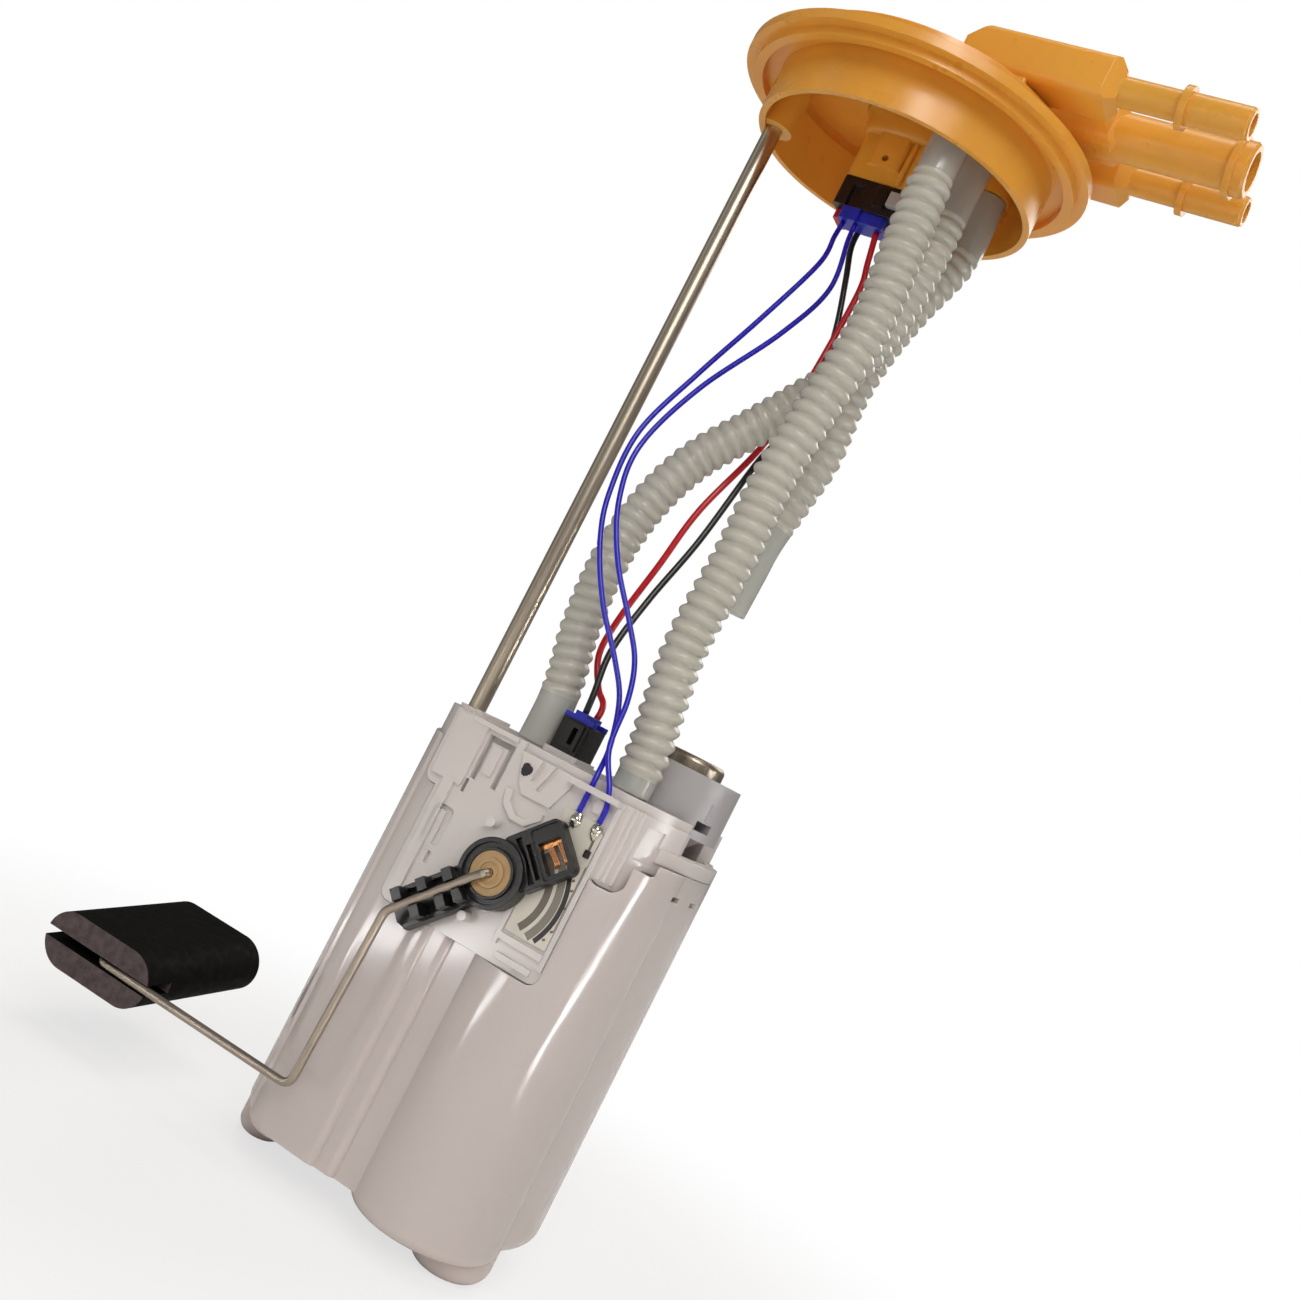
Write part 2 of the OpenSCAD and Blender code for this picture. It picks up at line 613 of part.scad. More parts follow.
module reservoir_cover() {
  color(white) difference() {
    union() {
      translate([0, 0, deck_z - deck_t]) linear_extrude(deck_t) deck_plan(0);
      translate([0, 0, rim_z]) linear_extrude(deck_z - rim_z) difference() {
        deck_plan(0);
        deck_plan(cover_wall);
      }
      // Wall of the regulator's pocket down to the shelf
      translate([0, 0, shelf_top]) linear_extrude(rim_z - shelf_top + eps) difference() {
        intersection() {
          deck_plan(0);
          lip_plan(0);
        }
        deck_plan(cover_wall);
      }
      // Lip inside the bucket's rim, and the shelf
      translate([0, 0, shelf_top]) linear_extrude(rim_z - shelf_top) difference() {
        lip_plan(0);
        lip_plan(2);
      }
      translate([0, 0, shelf_top - shelf_t]) linear_extrude(shelf_t) difference() {
        lip_plan(0);
        deck_plan(cover_wall + 1.5);
      }
      // Sensor panel
      on_panel(panel_y - cover_wall, panel_y) panel_plan(0, 0);
      translate([-panel_half, -panel_y, deck_z - 8]) cube([2 * panel_half, cover_wall, 8]);
      // Right wall, round like the bucket, with its upright ribs
      intersection() {
        union() {
          tube([0, 0], cover_r + 0.2, cover_r - cover_wall - 0.2, deck_z - 30, 30);
          for (a = [-47.2, -45, -41.6]) rotate(a) translate([cover_r, 0, deck_z - 27]) cylinder(h = 25, r = 0.8);
        }
        translate([0, -16, 0]) rotate([90, 0, 0]) linear_extrude(50) right_plan(0, 0);
      }
      // Rim that sits on the bucket's lower rim at the right
      intersection() {
        tube([0, 0], bucket_r, lip_r - 1, low_rim_z, low_rim_h, $fn = 96);
        translate([right_tab_x + 0.6, -60, low_rim_z]) cube([40, 96, low_rim_h]);
      }
      panel_front();
      // Guides of the rods
      for (p = rods) translate([p[0], p[1], rod_end_z + retainer_t + 1.3])
        cylinder(h = deck_z - rod_end_z - retainer_t - 1.3 + 1.2, r = guide_r);
      // Nipples for the two hoses, and the pump's socket
      for (p = [feed_at, return_at]) translate([p[0], p[1], deck_z - eps]) {
        cylinder(h = 13, d = nipple_d);
        for (k = [0:1]) translate([0, 0, 5 + 4 * k]) cylinder(h = 2.4, d1 = nipple_d + 0.5, d2 = nipple_d - 0.8);
      }
      block(pump_plug_at, 12.8, 16.4, deck_z - 12, 14, 1.2);
      // Collar for the regulator's stem, on the shelf
      tube([reg_x, 0], 12, 9.1, shelf_top - shelf_t - 6, shelf_t + 7.5);
      // Stop ribs on the deck beside the left rod
      translate([rod_a[0] + 7, rod_a[1] - 12, deck_z - eps]) cube([2, 22, 1.6]);
    }
    for (p = rods) translate([p[0], p[1], base_z]) cylinder(h = reservoir_h + 20, r = rod_d / 2 + rod_gap);
    translate([feed_at[0], feed_at[1], deck_z - 30]) cylinder(h = 60, d = nipple_d - 2.8);
    translate([return_at[0], return_at[1], deck_z - 30]) cylinder(h = 60, d = nipple_d - 2.8);
    block(pump_plug_at, 11, 14.2, deck_z - 9, 40, 1);
    for (k = [-1, 1]) translate([pump_plug_at[0] + 3 * k, pump_plug_at[1], deck_z - 12])
      cube([2.7, 0.9, 40], center = true);
    translate([reg_x, 0, shelf_top - 20]) cylinder(h = 40, r = 9.1);
    translate([pivot_x, -panel_y, pivot_z]) rotate([90, 0, 0]) cylinder(h = 20, r = arm_r + fit_gap, center = true);
    on_panel(panel_y - cover_wall - 1, panel_y + 4) {
      bar(-18.8, -16.6, 139, 154);
      bar(-10.6, -8.6, 139, 154);
      bar(-18.8, -8.6, 152, 154);
      bar(-19.6, -18.4, 133.8, 138.4);
    }
    // Pocket with a snap tongue, and a slot, in the panel's face
    on_panel(panel_y - 1.2, panel_y + 1) difference() {
      plate(-24.2, -17.8, 115, 127.8, 1.4);
      bar(-23.6, -20.4, 114, 126);
    }
    on_panel(panel_y - 1.2, panel_y + 1) bar(-20, -18.6, 109, 112.8);
    // Lower front edge of the deck right of the snap tongue, and along the right wall
    translate([-6, -panel_y - 1, deck_z - 2.8]) cube([60, 2.8, 5]);
    difference() {
      translate([panel_half - 3, -60, deck_z - 3]) cube([30, 44, 5]);
      translate([0, 0, deck_z - 4]) cylinder(h = 8, r = cover_r - 1.6);
    }
    // Recess in the right wall
    rotate(-35) translate([cover_r - 0.9, -3.6, deck_z - 16.7]) cube([4, 7.2, 10.7]);
  }
}

// Rails, frames and stops on the face of the sensor panel
module panel_front() {
  on_panel(panel_y - eps, panel_y + rail_t) {
    plate(-31.6, -19.9, 135.3, 156.4, 0.8);
    bar(-26.4, -22.4, 96, 135.6);
    bar(-15.4, -11.8, 142, 151.4);
    difference() {
      translate([pivot_x, pivot_z]) circle(r = hub_r - 1.8);
      translate([pivot_x, pivot_z]) circle(r = post_r + 2.6 + 0.6);
    }
    bar(14, 15.6, 99, 118);
    bar(14, 31.4, 100.6, 102.8);
    bar(17, 30, 95, 97);
    bar(31.6, 33.3, 98, 152);
    bar(24.2, 27.4, 147.4, 151.6);
    difference() {
      polygon([for (p = [[-5.4, 154.2], [-1.9, 145], [0.7, 142], [11.2, 142.2], [14.6, 150.6], [15, 154.2]])
        [p[0], base_z + p[1]]]);
      polygon([for (p = [[1.4, 147], [3, 147.4], [4.2, 155], [2.4, 155]]) [p[0], base_z + p[1]]]);
      polygon([for (p = [[4.4, 145.2], [5.8, 145], [9.6, 155], [7.6, 155]]) [p[0], base_z + p[1]]]);
    }
  }
  // Six-sided frame above the pivot
  on_panel(panel_y - eps, panel_y + 1.4) difference() {
    polygon([for (p = [[-5, 142], [-3.6, 137], [1, 133.6], [6.4, 133.6], [10.6, 137.4], [10.6, 139.4], [5.6, 135.6],
      [1.8, 135.6], [-1.6, 138.4], [-2.6, 142]]) [p[0], base_z + p[1]]]);
  }
  // Ledge over the snap tongue
  on_panel(panel_y - eps, panel_y + 1.6) bar(-26, -8.4, 155.4, 157);
  // Bar that holds the sensor wires
  on_panel(panel_y + 2.7, panel_y + 4.1) bar(14.4, 32.6, 152.2, 154.2);
  for (x = [14.4, 31.2]) on_panel(panel_y - eps, panel_y + 4.1) bar(x, x + 1.4, 152.2, 154.2);
  // Post of the float arm
  translate([pivot_x, -panel_y + 1, pivot_z]) rotate([90, 0, 0]) cylinder(h = post_len + 1, r = post_r);
  // Stops for the empty and the full tank
  for (s = [[-14, -8.2, 0], [-14, 8.2, -70]]) translate([pivot_x, 0, pivot_z])
    rotate([0, -lever_angle - s[2], 0]) translate([s[0], -panel_y + 1, s[1]])
      rotate([90, 0, 0]) cylinder(h = 5.2, r = 1.6);
}

// Coil springs under the rods
spring_low = floor_z;
spring_high = rod_end_z - 0.2;
spring_turns = 11;
module rod_spring(p) {
  mean_r = 4;
  steps = spring_turns * 14;
  wr = spring_wire_d / 2;
  len = spring_high - spring_low - 2 * wr;
  pts = [for (i = [0:steps]) [p[0] + mean_r * cos(360 * i / 14), p[1] + mean_r * sin(360 * i / 14),
    spring_low + wr + len * i / steps]];
  color(steel) solid_tube(pts, wr * 0.95, 6);
}
module rod_spring_left() { rod_spring(rod_a); }
module rod_spring_rear() { rod_spring(rod_b); }

// Regulator: plastic cup, steel can and its seal
cup_low = rim_z + 6;
cup_top = cup_low + cup_h;
module regulator_cup() {
  color(grey) translate([reg_x, 0, 0]) difference() {
    union() {
      translate([0, 0, cup_low]) cylinder(h = cup_top - cup_low, d = cup_d, $fn = 72);
      translate([0, 0, cup_low - 4]) cylinder(h = 4 + eps, d1 = 19, d2 = 27);
      rotate(-29) translate([cup_d / 2 - 0.7, 0, cup_low + 6.6]) cylinder(h = 6, r = 1.2);
      translate([0, 0, shelf_top - 7]) cylinder(h = cup_low - 4 - shelf_top + 7 + eps, d = 18);
    }
    translate([0, 0, cup_low + 2]) cylinder(h = 40, d = can_d + 0.3);
    translate([0, 0, cup_low + 13]) cylinder(h = 40, d = cup_d - 4, $fn = 72);
    translate([0, 0, shelf_top - 8]) cylinder(h = 60, d = 9);
    rotate(-29) translate([cup_d / 2 - 4, 0, cup_low + 4.4]) cube([16, 6.4, 3], center = true);
    rotate(151) translate([cup_d / 2 - 4, 0, cup_low + 4.4]) cube([16, 6.4, 3], center = true);
  }
}
module pressure_regulator() {
  color(steel) translate([reg_x, 0, 0]) difference() {
    rotate_extrude($fn = 72) {
      translate([0, cup_low + 2.2]) square([can_d / 2, 20]);
      translate([0, cup_low + 22]) square([can_d / 2 - 2, 2]);
      intersection() {
        translate([can_d / 2 - 2, cup_low + 22]) circle(r = 2);
        translate([0, cup_low + 21]) square([can_d, 4]);
      }
      translate([0, cup_low - 8]) square([4, 11]);
    }
    translate([0, 0, cup_low + 23.2]) cylinder(h = 5, d = can_d - 8);
    translate([0, 0, cup_low - 9]) cylinder(h = 12, d = 4);
  }
}
module regulator_seal() {
  color(black) translate([reg_x, 0, cup_low - 5]) rotate_extrude() translate([4.25, 0]) {
    translate([0, -1]) square([0.15, 2]);
    circle(r = 0.2);
  }
}

// Plug that feeds the pump, on the deck
plug_top_z = deck_z + 13;
module pump_plug() {
  color(black) difference() {
    union() {
      block(pump_plug_at, 10.7, 13.9, deck_z - 8.6, plug_top_z - deck_z + 8.6, 1.2);
      translate([pump_plug_at[0] - 2.4, pump_plug_at[1] - 8.5, deck_z + 3.4]) cube([6.6, 2.2, 9]);
    }
    translate([pump_plug_at[0] + 0.8, pump_plug_at[1] - 8.9, deck_z + 5]) cube([1.8, 4, 5.6]);
    for (k = [-1, 1]) translate([pump_plug_at[0] + 3 * k, pump_plug_at[1], deck_z - 4])
      cube([2.9, 1.1, 16], center = true);
  }
}
module pump_plug_lock() {
  color(blue) {
    block(pump_plug_at, 5, 12, plug_top_z, 3.2, 0.8);
    for (s = [-1, 1]) block([pump_plug_at[0], pump_plug_at[1] + 4.6 * s], 11.6, 2.8, plug_top_z, 1.8, 0.8);
  }
}
module pump_terminals() {
  color(steel) for (k = [-1, 1]) translate([pump_plug_at[0] + 3 * k, pump_plug_at[1], deck_z - 8.5])
    cube([2.5, 0.7, 17], center = true);
}

// Thick film resistor card with its two solder joints
module resistor_card() {
  color([0.9, 0.87, 0.8]) on_panel(panel_y, panel_y + card_t) difference() {
    translate([card_x, card_low]) square([card_w, card_h]);
    translate([card_x - 2, card_low + card_h]) rotate(-45) square([4, 4], center = true);
    translate([card_x + card_w, card_low + card_h + 1]) rotate(45) square([5, 5], center = true);
  }
}
solder_at = [[card_x + 5, card_top - 2], [card_x + 12.6, card_top - 1.8]];
module solder_joints() {
  color(steel) for (s = solder_at) translate([s[0], -panel_y - card_t, s[1]]) intersection() {
    sphere(r = 2);
    translate([-3, -3, -3]) cube([6, 3, 6]);
  }
}

// Pump, its motor and the parts round it
module pump_shell() {
  color(steel) translate([pump_at[0], pump_at[1], shell_z]) rotate_extrude($fn = 72) {
    translate([shell_in, 0]) square([shell_wall, shell_len]);
    translate([shell_in - 1.6, 0]) square([2, 0.9]);
    translate([shell_in - 1.6, shell_len - 0.9]) square([2, 0.9]);
  }
}
module pump_inlet_cover() {
  color([0.75, 0.76, 0.77]) translate([pump_at[0], pump_at[1], shell_z + 1]) difference() {
    union() {
      cylinder(h = inlet_t, r = shell_in - 0.05, $fn = 72);
      translate([7, 0, -9]) cylinder(h = 10, r = 4.6);
    }
    translate([7, 0, -10]) cylinder(h = 20, r = 3.2);
    translate([0, 0, 2]) cylinder(h = 10, r = shaft_r + 0.3);
    translate([0, 0, inlet_t - 1]) difference() {
      cylinder(h = 2, r = 15);
      translate([0, 0, -1]) cylinder(h = 4, r = 11.5);
      translate([-20, 0, -1]) cube([26, 8, 4]);
    }
  }
}
module pump_volute() {
  color([0.75, 0.76, 0.77]) translate([pump_at[0], pump_at[1], volute_z]) difference() {
    cylinder(h = volute_t, r = shell_in - 0.05, $fn = 72);
    translate([0, 0, -1]) cylinder(h = impeller_t + 1.2, r = 15.2, $fn = 72);
    cylinder(h = 40, r = shaft_r + 0.05, center = true);
    translate([-13, 0, -1]) cylinder(h = 20, r = 2.4);
    translate([0, 0, volute_t - 2]) cylinder(h = 4, r = 5);
  }
}
module pump_impeller() {
  color([0.25, 0.2, 0.15]) translate([pump_at[0], pump_at[1], volute_z + 0.1]) difference() {
    cylinder(h = impeller_t, r = 15, $fn = 72);
    translate([0, 0, -1]) cylinder(h = 10, r = shaft_r + 0.05);
    for (k = [0:blades - 1], z = [-0.2, impeller_t - 1.2]) rotate(360 * k / blades)
      translate([11.8, -0.9, z]) cube([2.2, 1.8, 1.4]);
  }
}
module pump_magnets() {
  color(black) translate([pump_at[0], pump_at[1], magnet_z]) for (a = [0, 180]) rotate(a)
    rotate_extrude(angle = 140, $fn = 72) translate([armature_d / 2 + 0.5, 0])
      square([shell_in - armature_d / 2 - 0.55, magnet_len]);
}
module pump_shaft() {
  color(steel) translate([pump_at[0], pump_at[1], volute_z - 3.9]) cylinder(h = bell_z - volute_z + 12, r = shaft_r);
}
module pump_armature() {
  color([0.5, 0.33, 0.2]) translate([pump_at[0], pump_at[1], magnet_z + 2]) difference() {
    union() {
      cylinder(h = magnet_len - 4, d = armature_d, $fn = 72);
      translate([0, 0, -4]) cylinder(h = magnet_len + 2, d = armature_d - 9);
    }
    translate([0, 0, -10]) cylinder(h = 100, r = shaft_r + 0.02);
    for (k = [0:poles - 1]) rotate(360 * k / poles) {
      translate([armature_d / 2 - 4, -0.9, -1]) cube([6, 1.8, magnet_len]);
      translate([armature_d / 2 - 5.6, 0, -1]) cylinder(h = magnet_len, r = 1.9);
    }
  }
}
commutator_z = magnet_z + magnet_len + 1;
module pump_commutator() {
  color(copper) translate([pump_at[0], pump_at[1], commutator_z]) difference() {
    cylinder(h = 8, r = 7);
    translate([0, 0, -1]) cylinder(h = 20, r = shaft_r + 0.02);
    for (k = [0:poles - 1]) rotate(360 * (k + 0.5) / poles) translate([5.6, -0.3, -1]) cube([3, 0.6, 12]);
  }
}
module pump_brushes() {
  color([0.3, 0.3, 0.3]) translate([pump_at[0], pump_at[1], commutator_z + 2]) for (a = [0, 180])
    rotate(a) translate([7.15, -2, 0]) cube([7, 4, 5]);
}
module pump_end_bell() {
  color(black) translate([pump_at[0], pump_at[1], 0]) difference() {
    union() {
      translate([0, 0, bell_z]) cylinder(h = 12.8, r = shell_in - 0.05, $fn = 72);
      translate([0, 0, bell_z]) cylinder(h = bell_h, r = shell_in - 1.8, $fn = 72);
      translate([-8, 6, bell_z + bell_h - eps]) cylinder(h = 9, r = 4.4);
      // Holders that guide the brushes
      for (a = [0, 180]) rotate(a) translate([9.6, -4, commutator_z + 1]) difference() {
        cube([6, 8, bell_z - commutator_z]);
        translate([-1, 1.9, 0.9]) cube([8, 4.2, 5.2]);
      }
    }
    translate([0, 0, bell_z - 1]) cylinder(h = 12, r = shaft_r + 0.05);
    translate([-8, 6, bell_z - 1]) cylinder(h = 60, r = 2.4);
    translate([-8, 6, bell_z + bell_h - 6]) cylinder(h = 4, r = 3.6);
  }
}
module check_valve_ball() {
  color(steel) translate([pump_at[0] - 8, pump_at[1] + 6, bell_z + bell_h - 3.6]) sphere(r = 2.39);
}
module pump_isolator() {
  color(black) tube(pump_at, pump_r + 1.4, pump_r + 0.1, shell_z - 1, 12);
  color(black) difference() {
    tube(pump_at, pump_r + 1.4, pump_r - 3.6, shell_z - 11, 10.9);
    for (a = [0:60:300]) translate([pump_at[0], pump_at[1], shell_z - 8]) rotate(a) translate([10, -4, 0]) cube([20, 8, 5]);
  }
}
module inlet_strainer() {
  color([0.9, 0.9, 0.85]) translate([pump_at[0], pump_at[1], floor_z + 0.3]) difference() {
    cylinder(h = 4.5, r = pump_r - 6.6);
    translate([0, 0, 1]) cylinder(h = 2.5, r = pump_r - 7.6);
    translate([7, 0, 2]) cylinder(h = 10, r = 3.2);
  }
}
// Flexible pipe from the pump's outlet to the deck
feed_pipe_route = [[pump_at[0] - 8, pump_at[1] + 6, bell_z + bell_h + 0.4],
  [pump_at[0] - 8, pump_at[1] + 6, bell_z + bell_h + 6],
  [pump_at[0] - 8, pump_at[1] + 5, bell_z + bell_h + 10],
  [return_at[0] + 3, return_at[1] + 10, deck_z - 10]];
module feed_pipe() {
  color(milky) tube([pump_at[0] - 8, pump_at[1] + 6], 6, 4.5, bell_z + bell_h + 0.2, deck_z - deck_t - bell_z - bell_h - 0.5);
}
module first_fill_valve() {
  color(black) translate([pump_at[0] - 27, pump_at[1], floor_z]) {
    translate([0, 0, eps]) cylinder(h = 0.8, r = 5.4);
    translate([0, 0, -3.2]) cylinder(h = 3.3, r = 1);
  }
}

// Level sensor: everything here turns with the float arm
module lever_frame() {
  translate([pivot_x, 0, pivot_z]) rotate([0, -lever_angle, 0]) children();
}
// Box in the lever's own frame: u along the lever, v across it
module lever_box(u0, u1, v0, v1, back, front) {
  translate([u0, -front, v0]) cube([u1 - u0, front - back, v1 - v0]);
}
module lever_plate(u0, u1, v0, v1, back, front, r) {
  translate([(u0 + u1) / 2, -back, (v0 + v1) / 2]) rotate([90, 0, 0])
    linear_extrude(front - back) rounded(u1 - u0, v1 - v0, r);
}
module contact_carrier() {
  color(black) lever_frame() difference() {
    union() {
      translate([0, -lever_back, 0]) rotate([90, 0, 0]) cylinder(h = lever_front - lever_back, r = hub_r, $fn = 72);
      lever_plate(6, 26, -9, 9, lever_back, lever_front - 1.8, 2.5);
      lever_box(-33, -8, -6.3, 6.3, lever_back, lever_back + 2.6);
      // Pointed end of the clip arm
      translate([-33, -lever_back, 0]) rotate([90, 0, 0]) linear_extrude(2.6)
        polygon([[0, 6.3], [0, -6.3], [-2.4, -3], [-2.4, 2]]);
      for (s = [-1, 1]) lever_box(-32.6, -8, s * 5.55 - 0.75, s * 5.55 + 0.75, lever_back, lever_back + 5);
      // Teeth that hold the wire
      for (u = [-31.5, -22.5, -13.5]) lever_box(u, u + 3.2, 1.6, 5.6, lever_back, arm_y + 1);
      for (u = [-27, -18, -12]) lever_box(u, u + 3.2, -5.6, -1.6, lever_back, arm_y + 1);
    }
    translate([0, -lever_back + 1, 0]) rotate([90, 0, 0]) cylinder(h = 20, r = bushing_r + 0.05);
    lever_box(16.4, 24, -6.8, 3.6, 0, 60);
    lever_plate(15.2, 25, -8, 8, lever_front - 2.7, 60, 1.2);
    translate([0, -lever_front + 1, 0]) rotate([90, 0, 0]) difference() {
      cylinder(h = 20, r = hub_r - 1.5, $fn = 72);
      translate([0, 0, -1]) cylinder(h = 22, r = bushing_r + 0.9);
    }
    lever_box(13, 14.6, -6.8, 4.4, lever_back + 2, 60);
    translate([11.4, -lever_back - 2.5, 0]) rotate([90, 0, 0]) linear_extrude(20)
      polygon([[-1.2, 7.4], [0.9, 7.4], [0.9, -7.4], [-1.2, -7.4], [0.1, 0]]);
  }
}
module wiper_contacts() {
  color(copper) lever_frame() {
    lever_box(16.6, 23.8, -6.6, 3.4, lever_back + 1.2, lever_back + 1.6);
    for (u = [17.2, 20.8]) lever_box(u, u + 1.6, -3.2, 0.2, panel_y + card_t + 0.15, lever_back + 1.25);
  }
}
module hub_bushing() {
  color(tan_brown) lever_frame() difference() {
    union() {
      translate([0, -lever_back + 0.5, 0]) rotate([90, 0, 0]) cylinder(h = lever_front - lever_back, r = bushing_r);
      translate([0, -lever_front + 0.5, 0]) rotate([90, 0, 0]) cylinder(h = 0.8, r = 4.6);
    }
    translate([0, -panel_y + 1, 0]) rotate([90, 0, 0]) cylinder(h = post_len + 1.3, r = post_r + 0.06);
    translate([0, 0, 0]) rotate([90, 0, 0]) cylinder(h = 90, r = arm_r + 0.03);
    translate([0, -lever_front - 0.01, 0]) rotate([90, 0, 0]) difference() {
      cylinder(h = 2, r = 3.4);
      cylinder(h = 2, r = 2.6);
    }
  }
}

clip_dir = lever_angle + 180;
clip_end = [pivot_x + clip_reach * cos(clip_dir), pivot_z + clip_reach * sin(clip_dir)];
arm_low = [clip_end[0] - 2, clip_end[1] - arm_drop];
arm_end = [float_x, arm_low[1] - 1.2];

// Route with its corners rounded
function bent(p, r, n) = concat([p[0]],
  [for (i = [1:len(p) - 2])
    let (da = unit(p[i] - p[i - 1]), db = unit(p[i + 1] - p[i]), t = r * sqrt((1 - da * db) / (1 + da * db)))
      for (k = [0:n]) let (s = k / n)
        p[i] - (1 - s) * (1 - s) * t * da + s * s * t * db],
  [p[len(p) - 1]]);

float_yaw_dir = [-sin(float_yaw) * cos(float_tilt), cos(float_yaw) * cos(float_tilt), sin(float_tilt)];
module float_frame() {
  translate([arm_end[0], -arm_y - arm_r - 0.2, arm_end[1]]) rotate([0, 0, float_yaw]) rotate([float_tilt, 0, 0])
    children();
}

arm_route = [[pivot_x, -panel_y + 1, pivot_z], [pivot_x, -arm_y, pivot_z], [clip_end[0], -arm_y, clip_end[1]],
  [arm_low[0], -arm_y, arm_low[1]], [arm_end[0], -arm_y, arm_end[1]],
  [arm_end[0], -arm_y, arm_end[1]] + (float_l - 14) * float_yaw_dir];
module float_arm() {
  color(steel) solid_tube(bent(arm_route, arm_bend, 6), arm_r, 12, [1, 0, -1]);
}

module float() {
  color(black) float_frame() difference() {
    rotate([-90, 0, 0]) linear_extrude(float_l) {
      square([float_w - float_t, float_t], center = true);
      for (s = [-1, 1]) translate([s * (float_w - float_t) / 2, 0]) circle(d = float_t, $fn = 72);
    }
    translate([0, float_slit / 2 - 1, 0]) cube([float_w + 2, float_slit + 2, arm_d + 0.8], center = true);
    rotate([-90, 0, 0]) cylinder(h = float_l - 8, r = arm_r + 0.35);
  }
}

flange();
flange_terminals();
guide_rod_left();
guide_rod_rear();
rod_retainers();
harness_plug();
harness_plug_lock();
harness_wire_seal();
harness_latch_pin();
hose_feed();
hose_return();
hose_vent();
wire_blue_left();
wire_blue_right();
wire_red();
wire_black();
reservoir_bucket();
reservoir_cover();
rod_spring_left();
rod_spring_rear();
regulator_cup();
pressure_regulator();
regulator_seal();
pump_plug();
pump_plug_lock();
pump_terminals();
resistor_card();
solder_joints();
pump_shell();
pump_end_bell();
pump_inlet_cover();
pump_volute();
pump_magnets();
pump_brushes();
check_valve_ball();
pump_isolator();
inlet_strainer();
feed_pipe();
first_fill_valve();
contact_carrier();
wiper_contacts();
hub_bushing();
float_arm();
float();
pump_armature();
pump_shaft();
pump_commutator();
pump_impeller();
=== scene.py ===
import json
import math
import random

import bmesh
import bpy
from mathutils import Matrix, Vector


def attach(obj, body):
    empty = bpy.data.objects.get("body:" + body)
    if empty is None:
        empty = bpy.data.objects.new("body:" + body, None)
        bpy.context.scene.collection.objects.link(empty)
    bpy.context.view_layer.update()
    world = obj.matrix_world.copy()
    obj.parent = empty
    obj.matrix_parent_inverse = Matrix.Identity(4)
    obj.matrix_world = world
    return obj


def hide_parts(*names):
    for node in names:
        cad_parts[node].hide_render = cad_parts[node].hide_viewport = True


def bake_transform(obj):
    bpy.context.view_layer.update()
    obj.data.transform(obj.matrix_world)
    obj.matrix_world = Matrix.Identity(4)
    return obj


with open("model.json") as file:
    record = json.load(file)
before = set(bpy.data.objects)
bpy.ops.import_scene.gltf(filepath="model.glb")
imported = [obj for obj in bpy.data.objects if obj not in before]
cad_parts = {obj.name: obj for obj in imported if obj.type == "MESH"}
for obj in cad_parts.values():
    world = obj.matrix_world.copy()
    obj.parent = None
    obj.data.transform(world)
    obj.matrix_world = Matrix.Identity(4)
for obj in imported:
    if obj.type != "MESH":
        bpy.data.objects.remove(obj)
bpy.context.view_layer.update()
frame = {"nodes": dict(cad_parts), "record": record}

MM = 0.001

# Places and sizes that part.scad gives, in millimetres and degrees
FEET_Z = -400.0
PANEL_Y = -39.7
CARD_FACE_Y = -40.5
PIVOT = Vector((6.5, 0.0, -283.0))
LEVER_ANGLE = 46.0
ROD_RADIUS = 45.3
ROD_END_Z = -292.0
SPRING_LOW_Z = -386.0
# each spring, with the angle of the rod that it stands under
SPRING_ANGLES = {"rod_spring_left": 192.0, "rod_spring_rear": 98.0}


# Camera, at the photograph's viewing angle

PHOTO_PX = 1300
FOCAL_PX = 1567.7
SENSOR = 36.0
CLIP_NEAR = 0.01
CLIP_FAR = 20.0
CAMERA_AT = Vector((215.56, -476.19, -231.83))
CAMERA_RIGHT = Vector((0.82414, 0.34279, 0.45089))
CAMERA_UP = Vector((-0.38743, -0.23951, 0.89024))


def make_camera():
    data = bpy.data.cameras.new("camera")
    data.sensor_width = SENSOR
    data.lens = FOCAL_PX * SENSOR / PHOTO_PX
    data.clip_start = CLIP_NEAR
    data.clip_end = CLIP_FAR
    camera = bpy.data.objects.new("camera", data)
    bpy.context.scene.collection.objects.link(camera)
    back = CAMERA_RIGHT.cross(CAMERA_UP).normalized()
    turn = Matrix((CAMERA_RIGHT, CAMERA_UP, back)).transposed().to_4x4()
    camera.matrix_world = Matrix.Translation(CAMERA_AT * MM) @ turn
    bpy.context.scene.camera = camera


# Shader helpers

# Most values of a noise texture lie between these two
NOISE_LOW = 0.3
NOISE_HIGH = 0.7
EDGE_SAMPLES = 6


def linear(colour):
    """A colour as the eye reads it, 0 to 1, in the linear values that the shaders take."""
    return [c / 12.92 if c <= 0.04045 else ((c + 0.055) / 1.055) ** 2.4 for c in colour]


